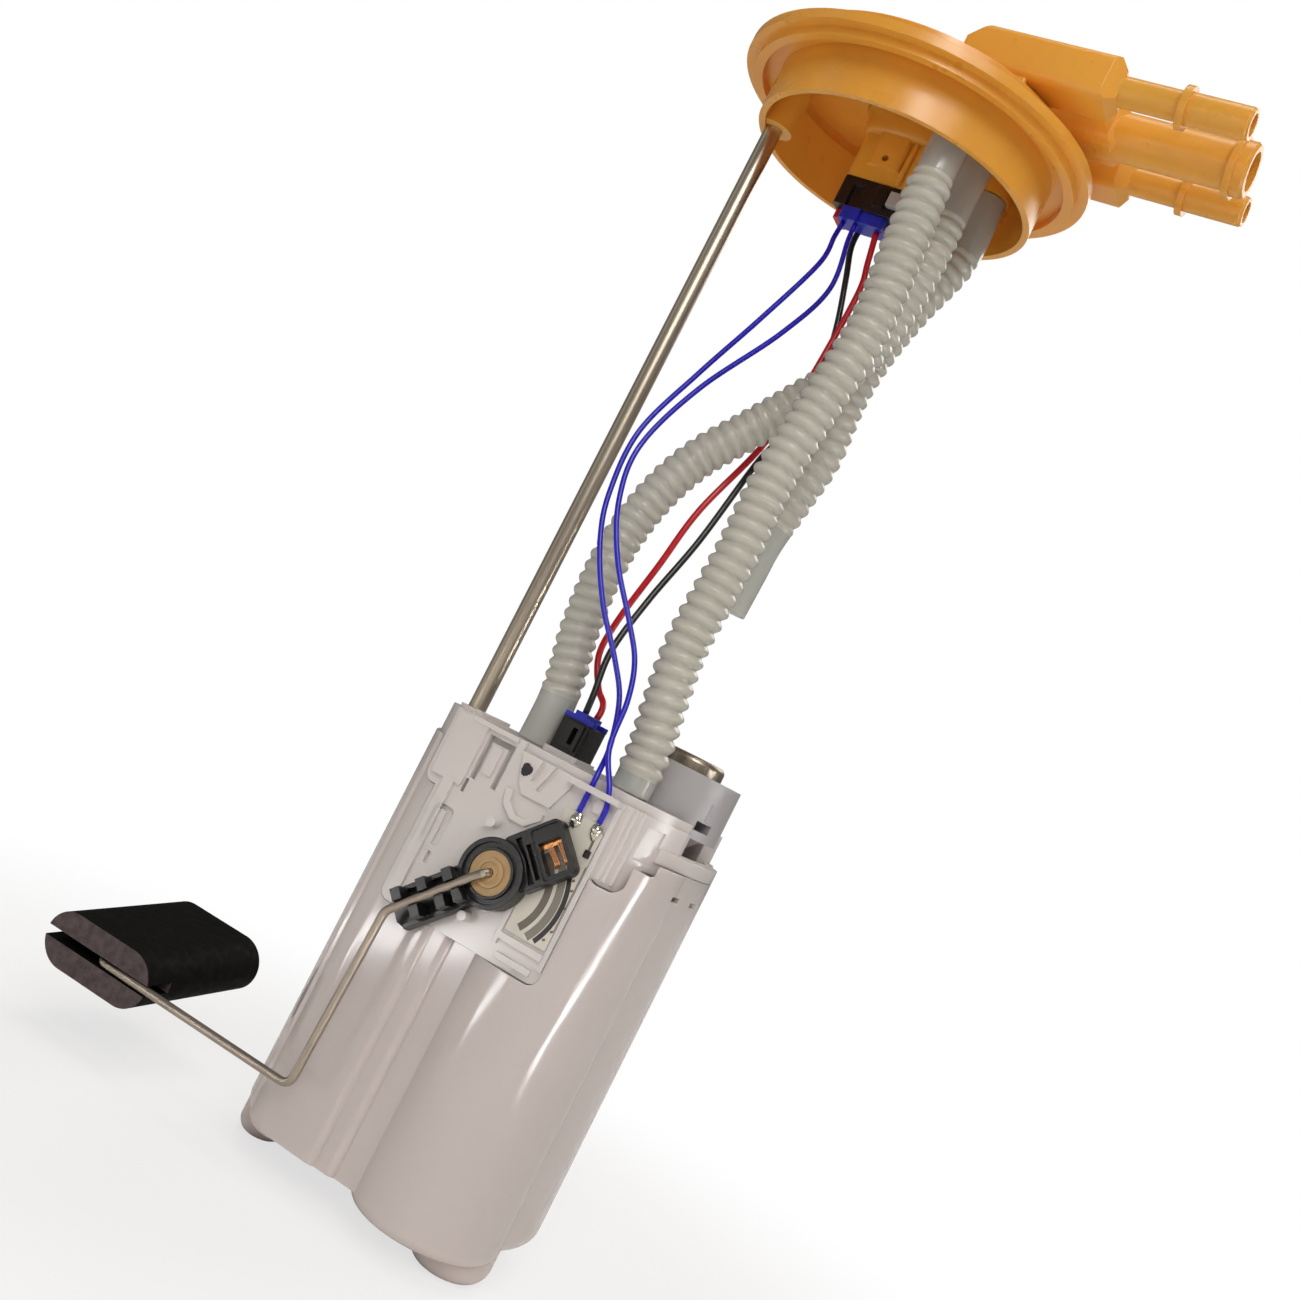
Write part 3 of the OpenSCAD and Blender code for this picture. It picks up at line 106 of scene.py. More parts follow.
class Shader:
    """A node material that is built from the surface back to its textures."""

    def __init__(self, name):
        self.material = bpy.data.materials.new(name)
        self.material.use_nodes = True
        self.nodes = self.material.node_tree.nodes
        self.links = self.material.node_tree.links
        self.surface = self.nodes["Principled BSDF"]
        self.coordinates = self.nodes.new("ShaderNodeTexCoord").outputs["Object"]

    def link(self, a, b):
        self.links.new(a, b)

    def stretched(self, scale):
        """Object coordinates times a scale for each axis; a small scale makes a pattern long that way."""
        node = self.nodes.new("ShaderNodeMapping")
        node.inputs["Scale"].default_value = scale
        self.link(self.coordinates, node.inputs["Vector"])
        return node.outputs["Vector"]

    def noise(self, size_mm, detail=3.0, stretch=(1, 1, 1)):
        node = self.nodes.new("ShaderNodeTexNoise")
        node.inputs["Scale"].default_value = 1 / (size_mm * MM)
        node.inputs["Detail"].default_value = detail
        self.link(self.stretched(stretch), node.inputs["Vector"])
        return node.outputs["Fac"]

    def ramp(self, factor, stops):
        node = self.nodes.new("ShaderNodeValToRGB")
        ramp = node.color_ramp
        while len(ramp.elements) < len(stops):
            ramp.elements.new(0.5)
        for element, (place, colour) in zip(ramp.elements, stops):
            element.position = place
            element.color = (*linear(colour), 1)
        self.link(factor, node.inputs["Fac"])
        return node.outputs["Color"]

    def mapped(self, factor, low, high):
        """A noise's factor as a value from low to high."""
        node = self.nodes.new("ShaderNodeMapRange")
        node.inputs["From Min"].default_value = NOISE_LOW
        node.inputs["From Max"].default_value = NOISE_HIGH
        node.inputs["To Min"].default_value = low
        node.inputs["To Max"].default_value = high
        self.link(factor, node.inputs["Value"])
        return node.outputs["Result"]

    def math(self, operation, *values):
        node = self.nodes.new("ShaderNodeMath")
        node.operation = operation
        for socket, value in zip(node.inputs, values):
            if isinstance(value, (int, float)):
                socket.default_value = value
            else:
                self.link(value, socket)
        return node.outputs["Value"]

    def mix(self, factor, a, b):
        node = self.nodes.new("ShaderNodeMix")
        node.data_type = "RGBA"
        self.link(factor, node.inputs["Factor"])
        for socket, value in ((node.inputs[6], a), (node.inputs[7], b)):
            if isinstance(value, (list, tuple)):
                socket.default_value = (*linear(value), 1)
            else:
                self.link(value, socket)
        return node.outputs[2]

    def bump(self, height, strength, distance_mm, edge_mm):
        """Fine relief, on edges that the light sees as rounded by edge_mm."""
        node = self.nodes.new("ShaderNodeBump")
        node.inputs["Strength"].default_value = strength
        node.inputs["Distance"].default_value = distance_mm * MM
        self.link(height, node.inputs["Height"])
        if edge_mm:
            edge = self.nodes.new("ShaderNodeBevel")
            edge.samples = EDGE_SAMPLES
            edge.inputs["Radius"].default_value = edge_mm * MM
            self.link(edge.outputs["Normal"], node.inputs["Normal"])
        self.link(node.outputs["Normal"], self.surface.inputs["Normal"])

    def angle_at_pivot(self):
        """Angle round the float arm's pivot, in radians, for marks that run outward from it."""
        split = self.nodes.new("ShaderNodeSeparateXYZ")
        self.link(self.coordinates, split.inputs["Vector"])
        x = self.math("SUBTRACT", split.outputs["X"], PIVOT.x * MM)
        z = self.math("SUBTRACT", split.outputs["Z"], PIVOT.z * MM)
        return self.math("ARCTAN2", z, x)

    def set(self, **values):
        """Constants on the surface's sockets, named with underscores for spaces."""
        for name, value in values.items():
            self.surface.inputs[name.replace("_", " ")].default_value = value

    def colour(self, output):
        self.link(output, self.surface.inputs["Base Color"])

    def roughness(self, output):
        self.link(output, self.surface.inputs["Roughness"])


def shade(colour, gain):
    """The same hue, lighter or darker."""
    return tuple(min(1.0, c * gain) for c in colour)


# Kinds of material, with the depth of each one's relief

GRAIN_DEPTH = 0.08
LINE_DEPTH = 0.02
WAVE_DEPTH = 0.25
WAVE_STRENGTH = 0.12
PLASTIC_IOR = 1.49


def moulded(name, colour, rough, vary, edge_mm, grain_mm, grain, flow_mm, **constants):
    """Moulded plastic: soft flow marks in the colour, uneven gloss, a fine skin and rounded edges."""
    s = Shader(name)
    flow = s.noise(flow_mm, 4, (1, 1, 0.5))
    s.colour(s.ramp(flow, [(0.3, shade(colour, 1 - vary)), (0.55, colour), (0.75, shade(colour, 1 + vary))]))
    s.roughness(s.mapped(s.noise(flow_mm / 4, 2), rough - 0.03, rough + 0.04))
    if grain:
        s.bump(s.noise(grain_mm, 2), grain, GRAIN_DEPTH, edge_mm)
    s.set(**constants)
    return s.material


def metal(name, colour, rough, stretch=(1, 1, 0.03), streak_mm=0.35, vary=0.12, edge_mm=0.15,
          stain=0.15, relief=0.1):
    """Drawn, turned or stacked metal: fine lines along the axis that stretch keeps smallest, a few stains."""
    s = Shader(name)
    lines = s.noise(streak_mm, 3, stretch)
    stains = s.noise(14, 5, (1, 1, 0.4))
    tone = s.ramp(lines, [(0.3, shade(colour, 1 - vary)), (0.7, shade(colour, 1 + vary))])
    s.colour(s.mix(s.mapped(stains, 0, stain), tone, shade(colour, 0.6)))
    s.roughness(s.mapped(s.noise(20, 1, (1, 1, 0.3)), rough - 0.03, rough + 0.05))
    if relief:
        s.bump(lines, relief, LINE_DEPTH, edge_mm)
    s.set(Metallic=1.0)
    return s.material


def milky(name, colour, rough, transmission, vary, subsurface, edge_mm=0.3, depth_mm=4, wave_mm=16):
    """Unfilled plastic that lets soft light through, with the slow waves of a blown or drawn wall."""
    s = Shader(name)
    cloud = s.noise(40, 2, (1, 1, 0.45))
    s.colour(s.ramp(cloud, [(0.3, shade(colour, 1 - vary)), (0.7, shade(colour, 1 + vary / 2))]))
    s.roughness(s.mapped(s.noise(18, 2), rough - 0.02, rough + 0.04))
    s.bump(s.noise(wave_mm, 1, (1, 1, 0.3)), WAVE_STRENGTH, WAVE_DEPTH, edge_mm)
    s.set(Transmission_Weight=transmission, Subsurface_Weight=subsurface, IOR=PLASTIC_IOR,
          Subsurface_Radius=(1.0, 0.92, 0.88), Subsurface_Scale=depth_mm * MM)
    return s.material


def hatched(name, colour, gap, lines):
    """Printed film with fine lines that run outward from the float arm's pivot."""
    s = Shader(name)
    wave = s.math("SINE", s.math("MULTIPLY", s.angle_at_pivot(), lines))
    s.colour(s.ramp(s.math("MULTIPLY_ADD", wave, 0.5, 0.5), [(0.45, gap), (0.75, colour)]))
    s.roughness(s.mapped(s.noise(1.5), 0.32, 0.5))
    return s.material


# The float's skin and the ends where it is cut, each from its darkest to its lightest tone
FOAM_SKIN = ((0.012, 0.013, 0.01), (0.035, 0.035, 0.028))
FOAM_CUT = ((0.31, 0.27, 0.275), (0.4, 0.355, 0.36))
FOAM_CELL = 0.55
FOAM_END_FACING = 0.9


def foam(name):
    """Closed-cell rubber: a dark moulded skin, with the cut ends a browner charcoal that shows its cells."""
    s = Shader(name)
    cells = s.nodes.new("ShaderNodeTexVoronoi")
    cells.inputs["Scale"].default_value = 1 / (FOAM_CELL * MM)
    s.link(s.coordinates, cells.inputs["Vector"])
    geometry = s.nodes.new("ShaderNodeNewGeometry")
    split = s.nodes.new("ShaderNodeSeparateXYZ")
    s.link(geometry.outputs["Normal"], split.inputs["Vector"])
    toward_end = s.math("GREATER_THAN", s.math("ABSOLUTE", split.outputs["Y"]), FOAM_END_FACING)
    skin = s.ramp(s.noise(5, 4), list(zip((NOISE_LOW, NOISE_HIGH), FOAM_SKIN)))
    cut = s.ramp(s.noise(2.5, 4), list(zip((NOISE_LOW, NOISE_HIGH), FOAM_CUT)))
    s.colour(s.mix(toward_end, skin, cut))
    s.roughness(s.mapped(s.noise(3), 0.6, 0.8))
    s.set(Specular_IOR_Level=0.1)
    s.bump(cells.outputs["Distance"], 0.35, 0.12, 0.3)
    return s.material


# Materials

WIRE_GLOSS = 0.3

# colour, roughness, change of tone, rounded edge, size of the grain, its strength, size of the flow marks
AMBER = ((0.94, 0.675, 0.255), 0.3, 0.04, 0.25, 0.7, 0.04, 45)
AMBER_DEPTH = {"Subsurface_Weight": 0.3, "Subsurface_Radius": (1.0, 0.3, 0.05), "Subsurface_Scale": 4 * MM}
MOULDED = {
    "black_plastic": ((0.09, 0.087, 0.09), 0.3, 0.12, 0.35, 1.4, 0.02, 12),
    "blue_plastic": ((0.12, 0.17, 0.74), 0.33, 0.1, 0.3, 0.5, 0.05, 9),
    "red_plastic": ((0.78, 0.08, 0.13), 0.33, 0.1, 0.3, 0.5, 0.05, 9),
    "brown_plastic": ((0.3, 0.22, 0.16), 0.5, 0.15, 0.2, 0.4, 0.2, 5),
    "tan_plastic": ((0.76, 0.62, 0.42), 0.4, 0.06, 0.25, 0.35, 0.08, 5),
    "blue_wire": ((0.14, 0.11, 0.78), WIRE_GLOSS, 0.05, 0.0, 3, 0.0, 14),
    "red_wire": ((0.82, 0.07, 0.14), WIRE_GLOSS, 0.05, 0.0, 3, 0.0, 14),
    "black_wire": ((0.13, 0.135, 0.13), WIRE_GLOSS, 0.15, 0.0, 3, 0.0, 14),
    "rubber": ((0.07, 0.07, 0.07), 0.6, 0.2, 0.2, 0.5, 0.2, 8),
    "magnet": ((0.16, 0.16, 0.17), 0.55, 0.2, 0.3, 0.5, 0.25, 6),
    "carbon": ((0.12, 0.12, 0.12), 0.6, 0.2, 0.2, 0.3, 0.3, 4),
    "card_ceramic": ((0.90, 0.88, 0.83), 0.38, 0.03, 0.1, 0.25, 0.06, 7),
    "card_brown": ((0.46, 0.42, 0.37), 0.4, 0.06, 0.0, 0.3, 0.05, 4),
    "card_black": ((0.11, 0.1, 0.105), 0.34, 0.1, 0.0, 0.3, 0.05, 4),
    "ink": ((0.17, 0.13, 0.17), 0.45, 0.3, 0.0, 0.4, 0.1, 1.5),
}
# colour, roughness, stretch and width of the lines, change of tone, rounded edge, stains, relief
METALS = {
    "rod_steel": ((0.82, 0.775, 0.7), 0.3, (1, 1, 0.01), 5, 0.03, 0.1, 0.12, 0.0),
    "arm_steel": ((0.7, 0.655, 0.6), 0.34, (1, 1, 1), 9, 0.04, 0.0, 0.06, 0.0),
    "can_steel": ((0.62, 0.58, 0.52), 0.33, (1, 1, 0.3), 0.8, 0.05, 0.2, 0.1, 0.0),
    "copper_alloy": ((0.86, 0.6, 0.4), 0.22, (1, 1, 0.3), 0.6, 0.08, 0.1, 0.3, 0.05),
    "solder": ((0.84, 0.83, 0.78), 0.14, (1, 1, 1), 0.7, 0.08, 0.1, 0.3, 0.3),
    "plated_metal": ((0.8, 0.78, 0.74), 0.25),
    "cast_light_metal": ((0.72, 0.73, 0.74), 0.45, (1, 1, 1), 1.2),
    "armature_iron": ((0.5, 0.36, 0.25), 0.4, (1, 1, 6), 0.8),
}
# colour, roughness, transmission, change of tone, subsurface, rounded edge, depth of light, size of the waves
TRANSLUCENT = {
    "milky_plastic": ((0.88, 0.835, 0.822), 0.11, 0.0, 0.02, 0.6, 0.4, 6, 30),
    "white_plastic": ((0.9, 0.873, 0.862), 0.17, 0.0, 0.02, 0.5, 0.2, 4),
    "grey_plastic": ((0.715, 0.705, 0.715), 0.36, 0.0, 0.03, 0.15),
    "hose_plastic": ((0.86, 0.85, 0.805), 0.2, 0.2, 0.03, 0.6, 0.0, 3),
    "hose_cuff": ((0.88, 0.885, 0.86), 0.2, 0.45, 0.03, 0.6, 0.0, 3),
}
# colours of the lines and of the gaps, number of lines in a full turn
CARD_HATCH = ((0.66, 0.64, 0.59), (0.42, 0.4, 0.36), 330)


def make_materials():
    made = {"amber_plastic": moulded("amber_plastic", *AMBER, **AMBER_DEPTH)}
    for name, look in MOULDED.items():
        made[name] = moulded(name, *look)
    for name, look in METALS.items():
        made[name] = metal(name, *look)
    for name, look in TRANSLUCENT.items():
        made[name] = milky(name, *look)
    made["card_hatch"] = hatched("card_hatch", *CARD_HATCH)
    made["float_foam"] = foam("float_foam")
    return made


# Mesh helpers

# Straight pieces between two listed points of a route, before it is cut into even steps
ROUTE_SAMPLES = 24


def add_piece(name, mesh, material, body=None, smooth=True):
    """Put a mesh in the scene, with its look and the body that it rides with."""
    mesh.polygons.foreach_set("use_smooth", [smooth] * len(mesh.polygons))
    mesh.materials.append(MATERIALS[material])
    piece = bpy.data.objects.new(name, mesh)
    bpy.context.scene.collection.objects.link(piece)
    if body:
        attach(piece, body)
    return piece


def add_faces(name, verts, faces, material, body=None, smooth=True):
    """Piece from corner points in millimetres and the faces between them."""
    mesh = bpy.data.meshes.new(name)
    mesh.from_pydata([Vector(v) * MM for v in verts], [], faces)
    mesh.validate()
    return add_piece(name, mesh, material, body, smooth)


def add_model(name, model, material, body):
    """Piece from a bmesh in metres, which is freed here."""
    mesh = bpy.data.meshes.new(name)
    model.to_mesh(mesh)
    model.free()
    add_piece(name, mesh, material, body)


def rounded_box(name, low, high, bevel, material, body, segments=2):
    """Box between two corners, in millimetres, with rounded edges."""
    model = bmesh.new()
    bmesh.ops.create_cube(model, size=1.0)
    low, high = Vector(low), Vector(high)
    for v in model.verts:
        v.co = Vector((low[i] + (v.co[i] + 0.5) * (high[i] - low[i]) for i in range(3))) * MM
    bmesh.ops.bevel(model, geom=model.edges[:], offset=bevel * MM, segments=segments, affect="EDGES",
                    profile=0.5)
    add_model(name, model, material, body)


def between(p0, p1, p2, p3, t):
    """Catmull-Rom point, as part.scad's own hoses and wires have it."""
    return 0.5 * (2 * p1 + (p2 - p0) * t + (2 * p0 - 5 * p1 + 4 * p2 - p3) * t * t
                  + (3 * p1 - p0 - 3 * p2 + p3) * t ** 3)


def smooth_route(points, step):
    """The route's smooth line, as points a step apart along it."""
    p = [Vector(q) for q in points]
    fine = []
    for i in range(len(p) - 1):
        around = (p[max(i - 1, 0)], p[i], p[i + 1], p[min(i + 2, len(p) - 1)])
        fine += [between(*around, k / ROUTE_SAMPLES) for k in range(ROUTE_SAMPLES)]
    fine.append(p[-1])
    places = [0.0]
    for a, b in zip(fine, fine[1:]):
        places.append(places[-1] + (b - a).length)
    count = max(2, round(places[-1] / step))
    line, i = [], 0
    for k in range(count + 1):
        s = places[-1] * k / count
        while i < len(fine) - 2 and places[i + 1] < s:
            i += 1
        t = (s - places[i]) / max(places[i + 1] - places[i], 1e-9)
        line.append(fine[i].lerp(fine[i + 1], min(max(t, 0), 1)))
    return line, places[-1]


def frames_along(line):
    """Two directions across the line at each of its points, carried along without twist."""
    last = len(line) - 1
    tangents = [(line[min(i + 1, last)] - line[max(i - 1, 0)]).normalized() for i in range(len(line))]
    across = tangents[0].orthogonal().normalized()
    found = []
    for t in tangents:
        across = (across - across.dot(t) * t).normalized()
        found.append((across, t.cross(across)))
    return found


def tube_mesh(line, radii, sides, inner=None):
    """Rings of vertices round a line; inner gives the bore of an open tube, or None for a solid one."""
    frames = frames_along(line)
    verts, faces = [], []

    def ring(i, r):
        a, b = frames[i]
        verts.extend(line[i] + r * (math.cos(w) * a + math.sin(w) * b)
                     for w in (2 * math.pi * k / sides for k in range(sides)))

    def walls(start, rings, flip):
        for i in range(rings - 1):
            for k in range(sides):
                a, b = start + i * sides + k, start + i * sides + (k + 1) % sides
                quad = (a, b, b + sides, a + sides)
                faces.append(tuple(reversed(quad)) if flip else quad)

    n = len(line)
    for i in range(n):
        ring(i, radii[i])
    walls(0, n, False)
    if inner is None:
        faces.append(tuple(reversed(range(sides))))
        faces.append(tuple((n - 1) * sides + k for k in range(sides)))
        return verts, faces
    for i in range(n):
        ring(i, inner)
    m = n * sides
    walls(m, n, True)
    for start, flip in ((0, True), ((n - 1) * sides, False)):
        for k in range(sides):
            a, b = start + k, start + (k + 1) % sides
            quad = (a, b, b + m, a + m)
            faces.append(tuple(reversed(quad)) if flip else quad)
    return verts, faces


# Hoses and wires, on part.scad's own routes

FEED_ROUTE = [(25, -27, -2), (25, -27, -26), (27, -28, -50), (29, -28, -78), (26, -28.5, -106),
              (23.5, -29, -135), (24, -29.5, -162), (22.5, -29, -192), (24.5, -28.5, -212),
              (26.5, -27, -228), (27, -27, -242.7)]
RETURN_ROUTE = [(25, 0, -2), (25, 0, -26), (25, 0, -48), (23, -1, -68), (18, -2.5, -87), (9, -6, -103),
                (0, -10, -118), (-10, -14, -134), (-16, -17, -150), (-19.5, -18.5, -168), (-20, -19, -185),
                (-18.5, -18.5, -203), (-16, -17.5, -217), (-15, -16.5, -228), (-15, -16.5, -242.7)]
VENT_ROUTE = [(25, 27, -2), (25, 27, -26), (19.5, 22.5, -50), (16, 19.5, -70), (14.5, 19, -88),
              (15.5, 19.5, -111), (13.5, 18.5, -128), (11, 18, -146), (10.5, 18, -159), (10, 18, -173)]
BLUE_LEFT_ROUTE = [(-12, 6.5, -33.8), (-12, 5.5, -40), (-10.5, 1, -53), (-15, -11, -82), (-19.5, -24, -110),
                   (-23.5, -35, -137.5), (-21.5, -38, -160), (-16, -39, -176), (-6, -38, -193),
                   (6, -35.5, -208), (13, -34.5, -218.5), (18, -36, -232.5), (20.6, -40.6, -242),
                   (21, -41.4, -249), (21, -41.4, -254.6)]
BLUE_RIGHT_ROUTE = [(-7, 5.5, -33.8), (-6.5, 5, -40), (-3, 2, -60), (-6.5, -9.5, -84), (-15.5, -26.5, -115.5),
                    (-19.5, -37.5, -142.5), (-16, -40, -162), (-7, -39.5, -179.5), (5, -37.5, -195),
                    (12.5, -36.5, -205.5), (17, -37.5, -217.5), (19.8, -40, -233), (26.5, -41.4, -244),
                    (28.6, -41.4, -250), (28.6, -41.4, -254.6)]
RED_ROUTE = [(0, 9, -33.2), (2, 9.6, -44), (3.5, 10.5, -54), (3, 10, -76), (2.5, 7.5, -96.5), (0, 3.5, -120),
             (-5.5, -5.5, -149), (-8.5, -8, -172), (-12.5, -8.5, -194), (-13.5, -7.5, -207), (-8, -8, -217),
             (-2.5, -11, -221), (-0.5, -13.5, -224), (-0.5, -14, -226.8)]
BLACK_ROUTE = [(-9, 15.5, -29.2), (-9, 15.5, -38), (-5, 15, -50), (0, 15.5, -68), (3, 15.5, -87),
               (2.5, 13.5, -107.5), (-0.5, 8.5, -122.5), (-2.5, -1, -157.5), (-5, -10, -183.5),
               (-6, -16, -204.5), (-3.2, -18.8, -220), (-2.6, -19, -226.8)]

# name, route, radius, material
WIRES = [("wire_blue_left", BLUE_LEFT_ROUTE, 0.9, "blue_wire"),
         ("wire_blue_right", BLUE_RIGHT_ROUTE, 0.9, "blue_wire"),
         ("wire_red", RED_ROUTE, 1.1, "red_wire"),
         ("wire_black", BLACK_ROUTE, 1.1, "black_wire")]
WIRE_SIDES = 20
WIRE_STEP = 1.2

# name, route, crest and root radius, pitch of the ribs, plain cuffs at the two ends, what the far end meets
HOSES = [("hose_feed", FEED_ROUTE, 7.5, 5.85, 4.6, 22.0, 6.0, "object"),
         ("hose_return", RETURN_ROUTE, 6.9, 5.75, 4.15, 22.0, 18.0, "object"),
         ("hose_vent", VENT_ROUTE, 6.9, 5.75, 4.7, 22.0, 33.0, "bare")]
HOSE_SIDES = 28
HOSE_BORE = 5.35
CUFF_RADIUS = 6.5
RIB_SAMPLES = 8
# under 1 makes the crests broader than the grooves between them
RIB_POWER = 0.55


def rib_radius(s, length, crest, root, pitch, top_cuff, low_cuff):
    """Outer radius of a ribbed hose at s along it: round crests, narrow roots, plain ends."""
    wave = 0.5 + 0.5 * math.cos(2 * math.pi * (s - top_cuff) / pitch)
    ribbed = root + (crest - root) * wave ** RIB_POWER
    edge = min(s - top_cuff, length - low_cuff - s)
    if edge < 0:
        return CUFF_RADIUS
    return ribbed if edge > pitch / 2 else CUFF_RADIUS + (ribbed - CUFF_RADIUS) * edge * 2 / pitch


def make_hose(name, route, crest, root, pitch, top_cuff, low_cuff, far_end):
    line, length = smooth_route(route, pitch / RIB_SAMPLES)
    places = [length * i / (len(line) - 1) for i in range(len(line))]
    radii = [rib_radius(s, length, crest, root, pitch, top_cuff, low_cuff) for s in places]
    verts, faces = tube_mesh(line, radii, HOSE_SIDES, HOSE_BORE)
    piece = add_faces(name + "_ribbed", verts, faces, "hose_plastic")
    piece.data.materials.append(MATERIALS["hose_cuff"])
    cuff_look = len(piece.data.materials) - 1
    for p in piece.data.polygons:
        ring = (min(p.vertices) % (len(line) * HOSE_SIDES)) // HOSE_SIDES
        if not top_cuff < places[ring] < length - low_cuff:
            p.material_index = cuff_look
    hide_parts(name)
    if far_end == "bare":
        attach(piece, "flange")
    else:
        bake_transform(piece)


def make_wire(name, route, radius, material):
    line, length = smooth_route(route, WIRE_STEP)
    verts, faces = tube_mesh(line, [radius] * len(line), WIRE_SIDES)
    piece = add_faces(name + "_insulated", verts, faces, material)
    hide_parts(name)
    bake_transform(piece)


# Return springs

SPRING_WIRE = 0.62
SPRING_SIDES = 10
SPRING_MEAN = 4.0
SPRING_TURNS = 11
SPRING_TOP_Z = ROD_END_Z - 0.2
TURN_STEPS = 30
# share of the coil that lies closed at each end
CLOSED_SHARE = 0.06


def make_spring(name, angle):
    """Coil spring under a guide rod, wound at one fixed length."""
    x = ROD_RADIUS * math.cos(math.radians(angle))
    y = ROD_RADIUS * math.sin(math.radians(angle))
    low, high = SPRING_LOW_Z + SPRING_WIRE, SPRING_TOP_Z - SPRING_WIRE
    steps = SPRING_TURNS * TURN_STEPS
    line = []
    for i in range(steps + 1):
        w = 2 * math.pi * SPRING_TURNS * i / steps
        rise = min(max((i / steps - CLOSED_SHARE) / (1 - 2 * CLOSED_SHARE), 0), 1)
        line.append(Vector((x + SPRING_MEAN * math.cos(w), y + SPRING_MEAN * math.sin(w),
                            low + (high - low) * rise)))
    verts, faces = tube_mesh(line, [SPRING_WIRE] * len(line), SPRING_SIDES)
    piece = add_faces(name + "_coil", verts, faces, "rod_steel")
    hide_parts(name)
    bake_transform(piece)


# Sensor card: printed tracks, chip and solder

FILM = 0.04
# name, inner and outer radius round the pivot, first and last angle in degrees, material
CARD_BANDS = [("card_band_brown", 16.0, 18.4, -38, 50, "card_brown"),
              ("card_band_hatched", 19.6, 22.2, -35, 56, "card_hatch"),
              ("card_band_black", 22.5, 24.1, -31, 56, "card_black")]
BAND_STEPS = 40
CARD_PADS = [(29.3, -273.5), (30.2, -276.4), (30.4, -289.9), (29.2, -293.1), (30.7, -282.0)]
PAD_REACH = (0.4, 0.3)
PAD_WIDTH = 0.7
# name, from, to, width
CARD_TRACES = [("card_side_line", (30.95, -268.2), (30.95, -289.7), 0.3),
               ("card_left_trace", (20.2, -258.4), (19.7, -261.4), 0.5),
               ("card_right_trace", (29.2, -258.6), (29.3, -263.6), 0.8)]
CHIP_LOW = (28.3, -41.05, -265.8)
CHIP_HIGH = (30.4, -40.52, -263.4)
CHIP_EDGE = 0.12
# top and tip of each stripped wire end, half widths of the solder on it
WIRE_ENDS = [((21, -41.4, -254.4), (21.2, -41.2, -256.6), (1.9, 1.1, 2.6)),
             ((28.6, -41.4, -254.4), (28.7, -41.2, -257), (1.5, 1.1, 2.9))]
STRAND_RADIUS = 0.4
STRAND_SIDES = 10
STRAND_STEPS = 4
SOLDER_WAVES = 5
SOLDER_SEED = 11
# how far the solder reaches into the card, its middle off the card's face and below the wire's tip
SOLDER_SUNK = 0.05
SOLDER_RISE = 0.45
SOLDER_DROP = 0.4


def card_band(name, inner, outer, first, last, material):
    """Flat printed band round the float arm's pivot."""
    verts, faces = [], []
    for i in range(BAND_STEPS + 1):
        w = math.radians(first + (last - first) * i / BAND_STEPS)
        for r, lift in ((inner, 0), (outer, 0), (outer, FILM), (inner, FILM)):
            verts.append((PIVOT.x + r * math.cos(w), CARD_FACE_Y - lift, PIVOT.z + r * math.sin(w)))
    for i in range(BAND_STEPS):
        for k in range(4):
            a, b = 4 * i + k, 4 * i + (k + 1) % 4
            faces.append((a, b, b + 4, a + 4))
    faces.append((3, 2, 1, 0))
    faces.append(tuple(4 * BAND_STEPS + k for k in range(4)))
    add_faces(name, verts, faces, material, "reservoir", smooth=False)


def flat_mark(name, corners, thick, material, y=CARD_FACE_Y):
    """Thin flat piece on the card or the panel, from its corners (x, z) as seen from the front."""
    count = len(corners)
    verts = [(x, y, z) for x, z in corners] + [(x, y - thick, z) for x, z in corners]
    faces = [tuple(range(count)), tuple(reversed(range(count, 2 * count)))]
    faces += [(k, k + count, (k + 1) % count + count, (k + 1) % count) for k in range(count)]
    add_faces(name, verts, faces, material, "reservoir", smooth=False)


def strip_mark(name, a, b, width):
    """Straight printed line from a to b on the card."""
    a, b = Vector(a), Vector(b)
    side = (b - a).orthogonal().normalized() * width / 2
    corners = [a + side, b + side, b - side, a - side]
    turn = (b - a).cross(side)
    flat_mark(name, corners if turn > 0 else corners[::-1], FILM, "card_brown")


def solder_blob(name, middle, radii, seed):
    """Squashed ball with low bumps, flat where it meets the card."""
    wobble = random.Random(seed)
    waves = [(wobble.uniform(0, math.tau), wobble.randint(2, 5), wobble.uniform(0.03, 0.09))
             for _ in range(SOLDER_WAVES)]
    model = bmesh.new()
    bmesh.ops.create_uvsphere(model, u_segments=28, v_segments=18, radius=1.0)
    for v in model.verts:
        swell = 1 + sum(size * math.sin(count * math.atan2(v.co.z, v.co.x) + phase + 3 * v.co.y)
                        for phase, count, size in waves)
        v.co = Vector(middle) + Vector(c * r * swell for c, r in zip(v.co, radii))
        v.co.y = min(v.co.y, CARD_FACE_Y + SOLDER_SUNK)
        v.co *= MM
    add_model(name, model, "solder", "reservoir")


def make_card_print():
    for band in CARD_BANDS:
        card_band(*band)
    reach_x, reach_z = PAD_REACH
    for k, (x, z) in enumerate(CARD_PADS):
        strip_mark(f"card_pad_{k}", (x - reach_x, z - reach_z), (x + reach_x, z + reach_z), PAD_WIDTH)
    for trace in CARD_TRACES:
        strip_mark(*trace)
    rounded_box("card_chip", CHIP_LOW, CHIP_HIGH, CHIP_EDGE, "card_black", "reservoir")


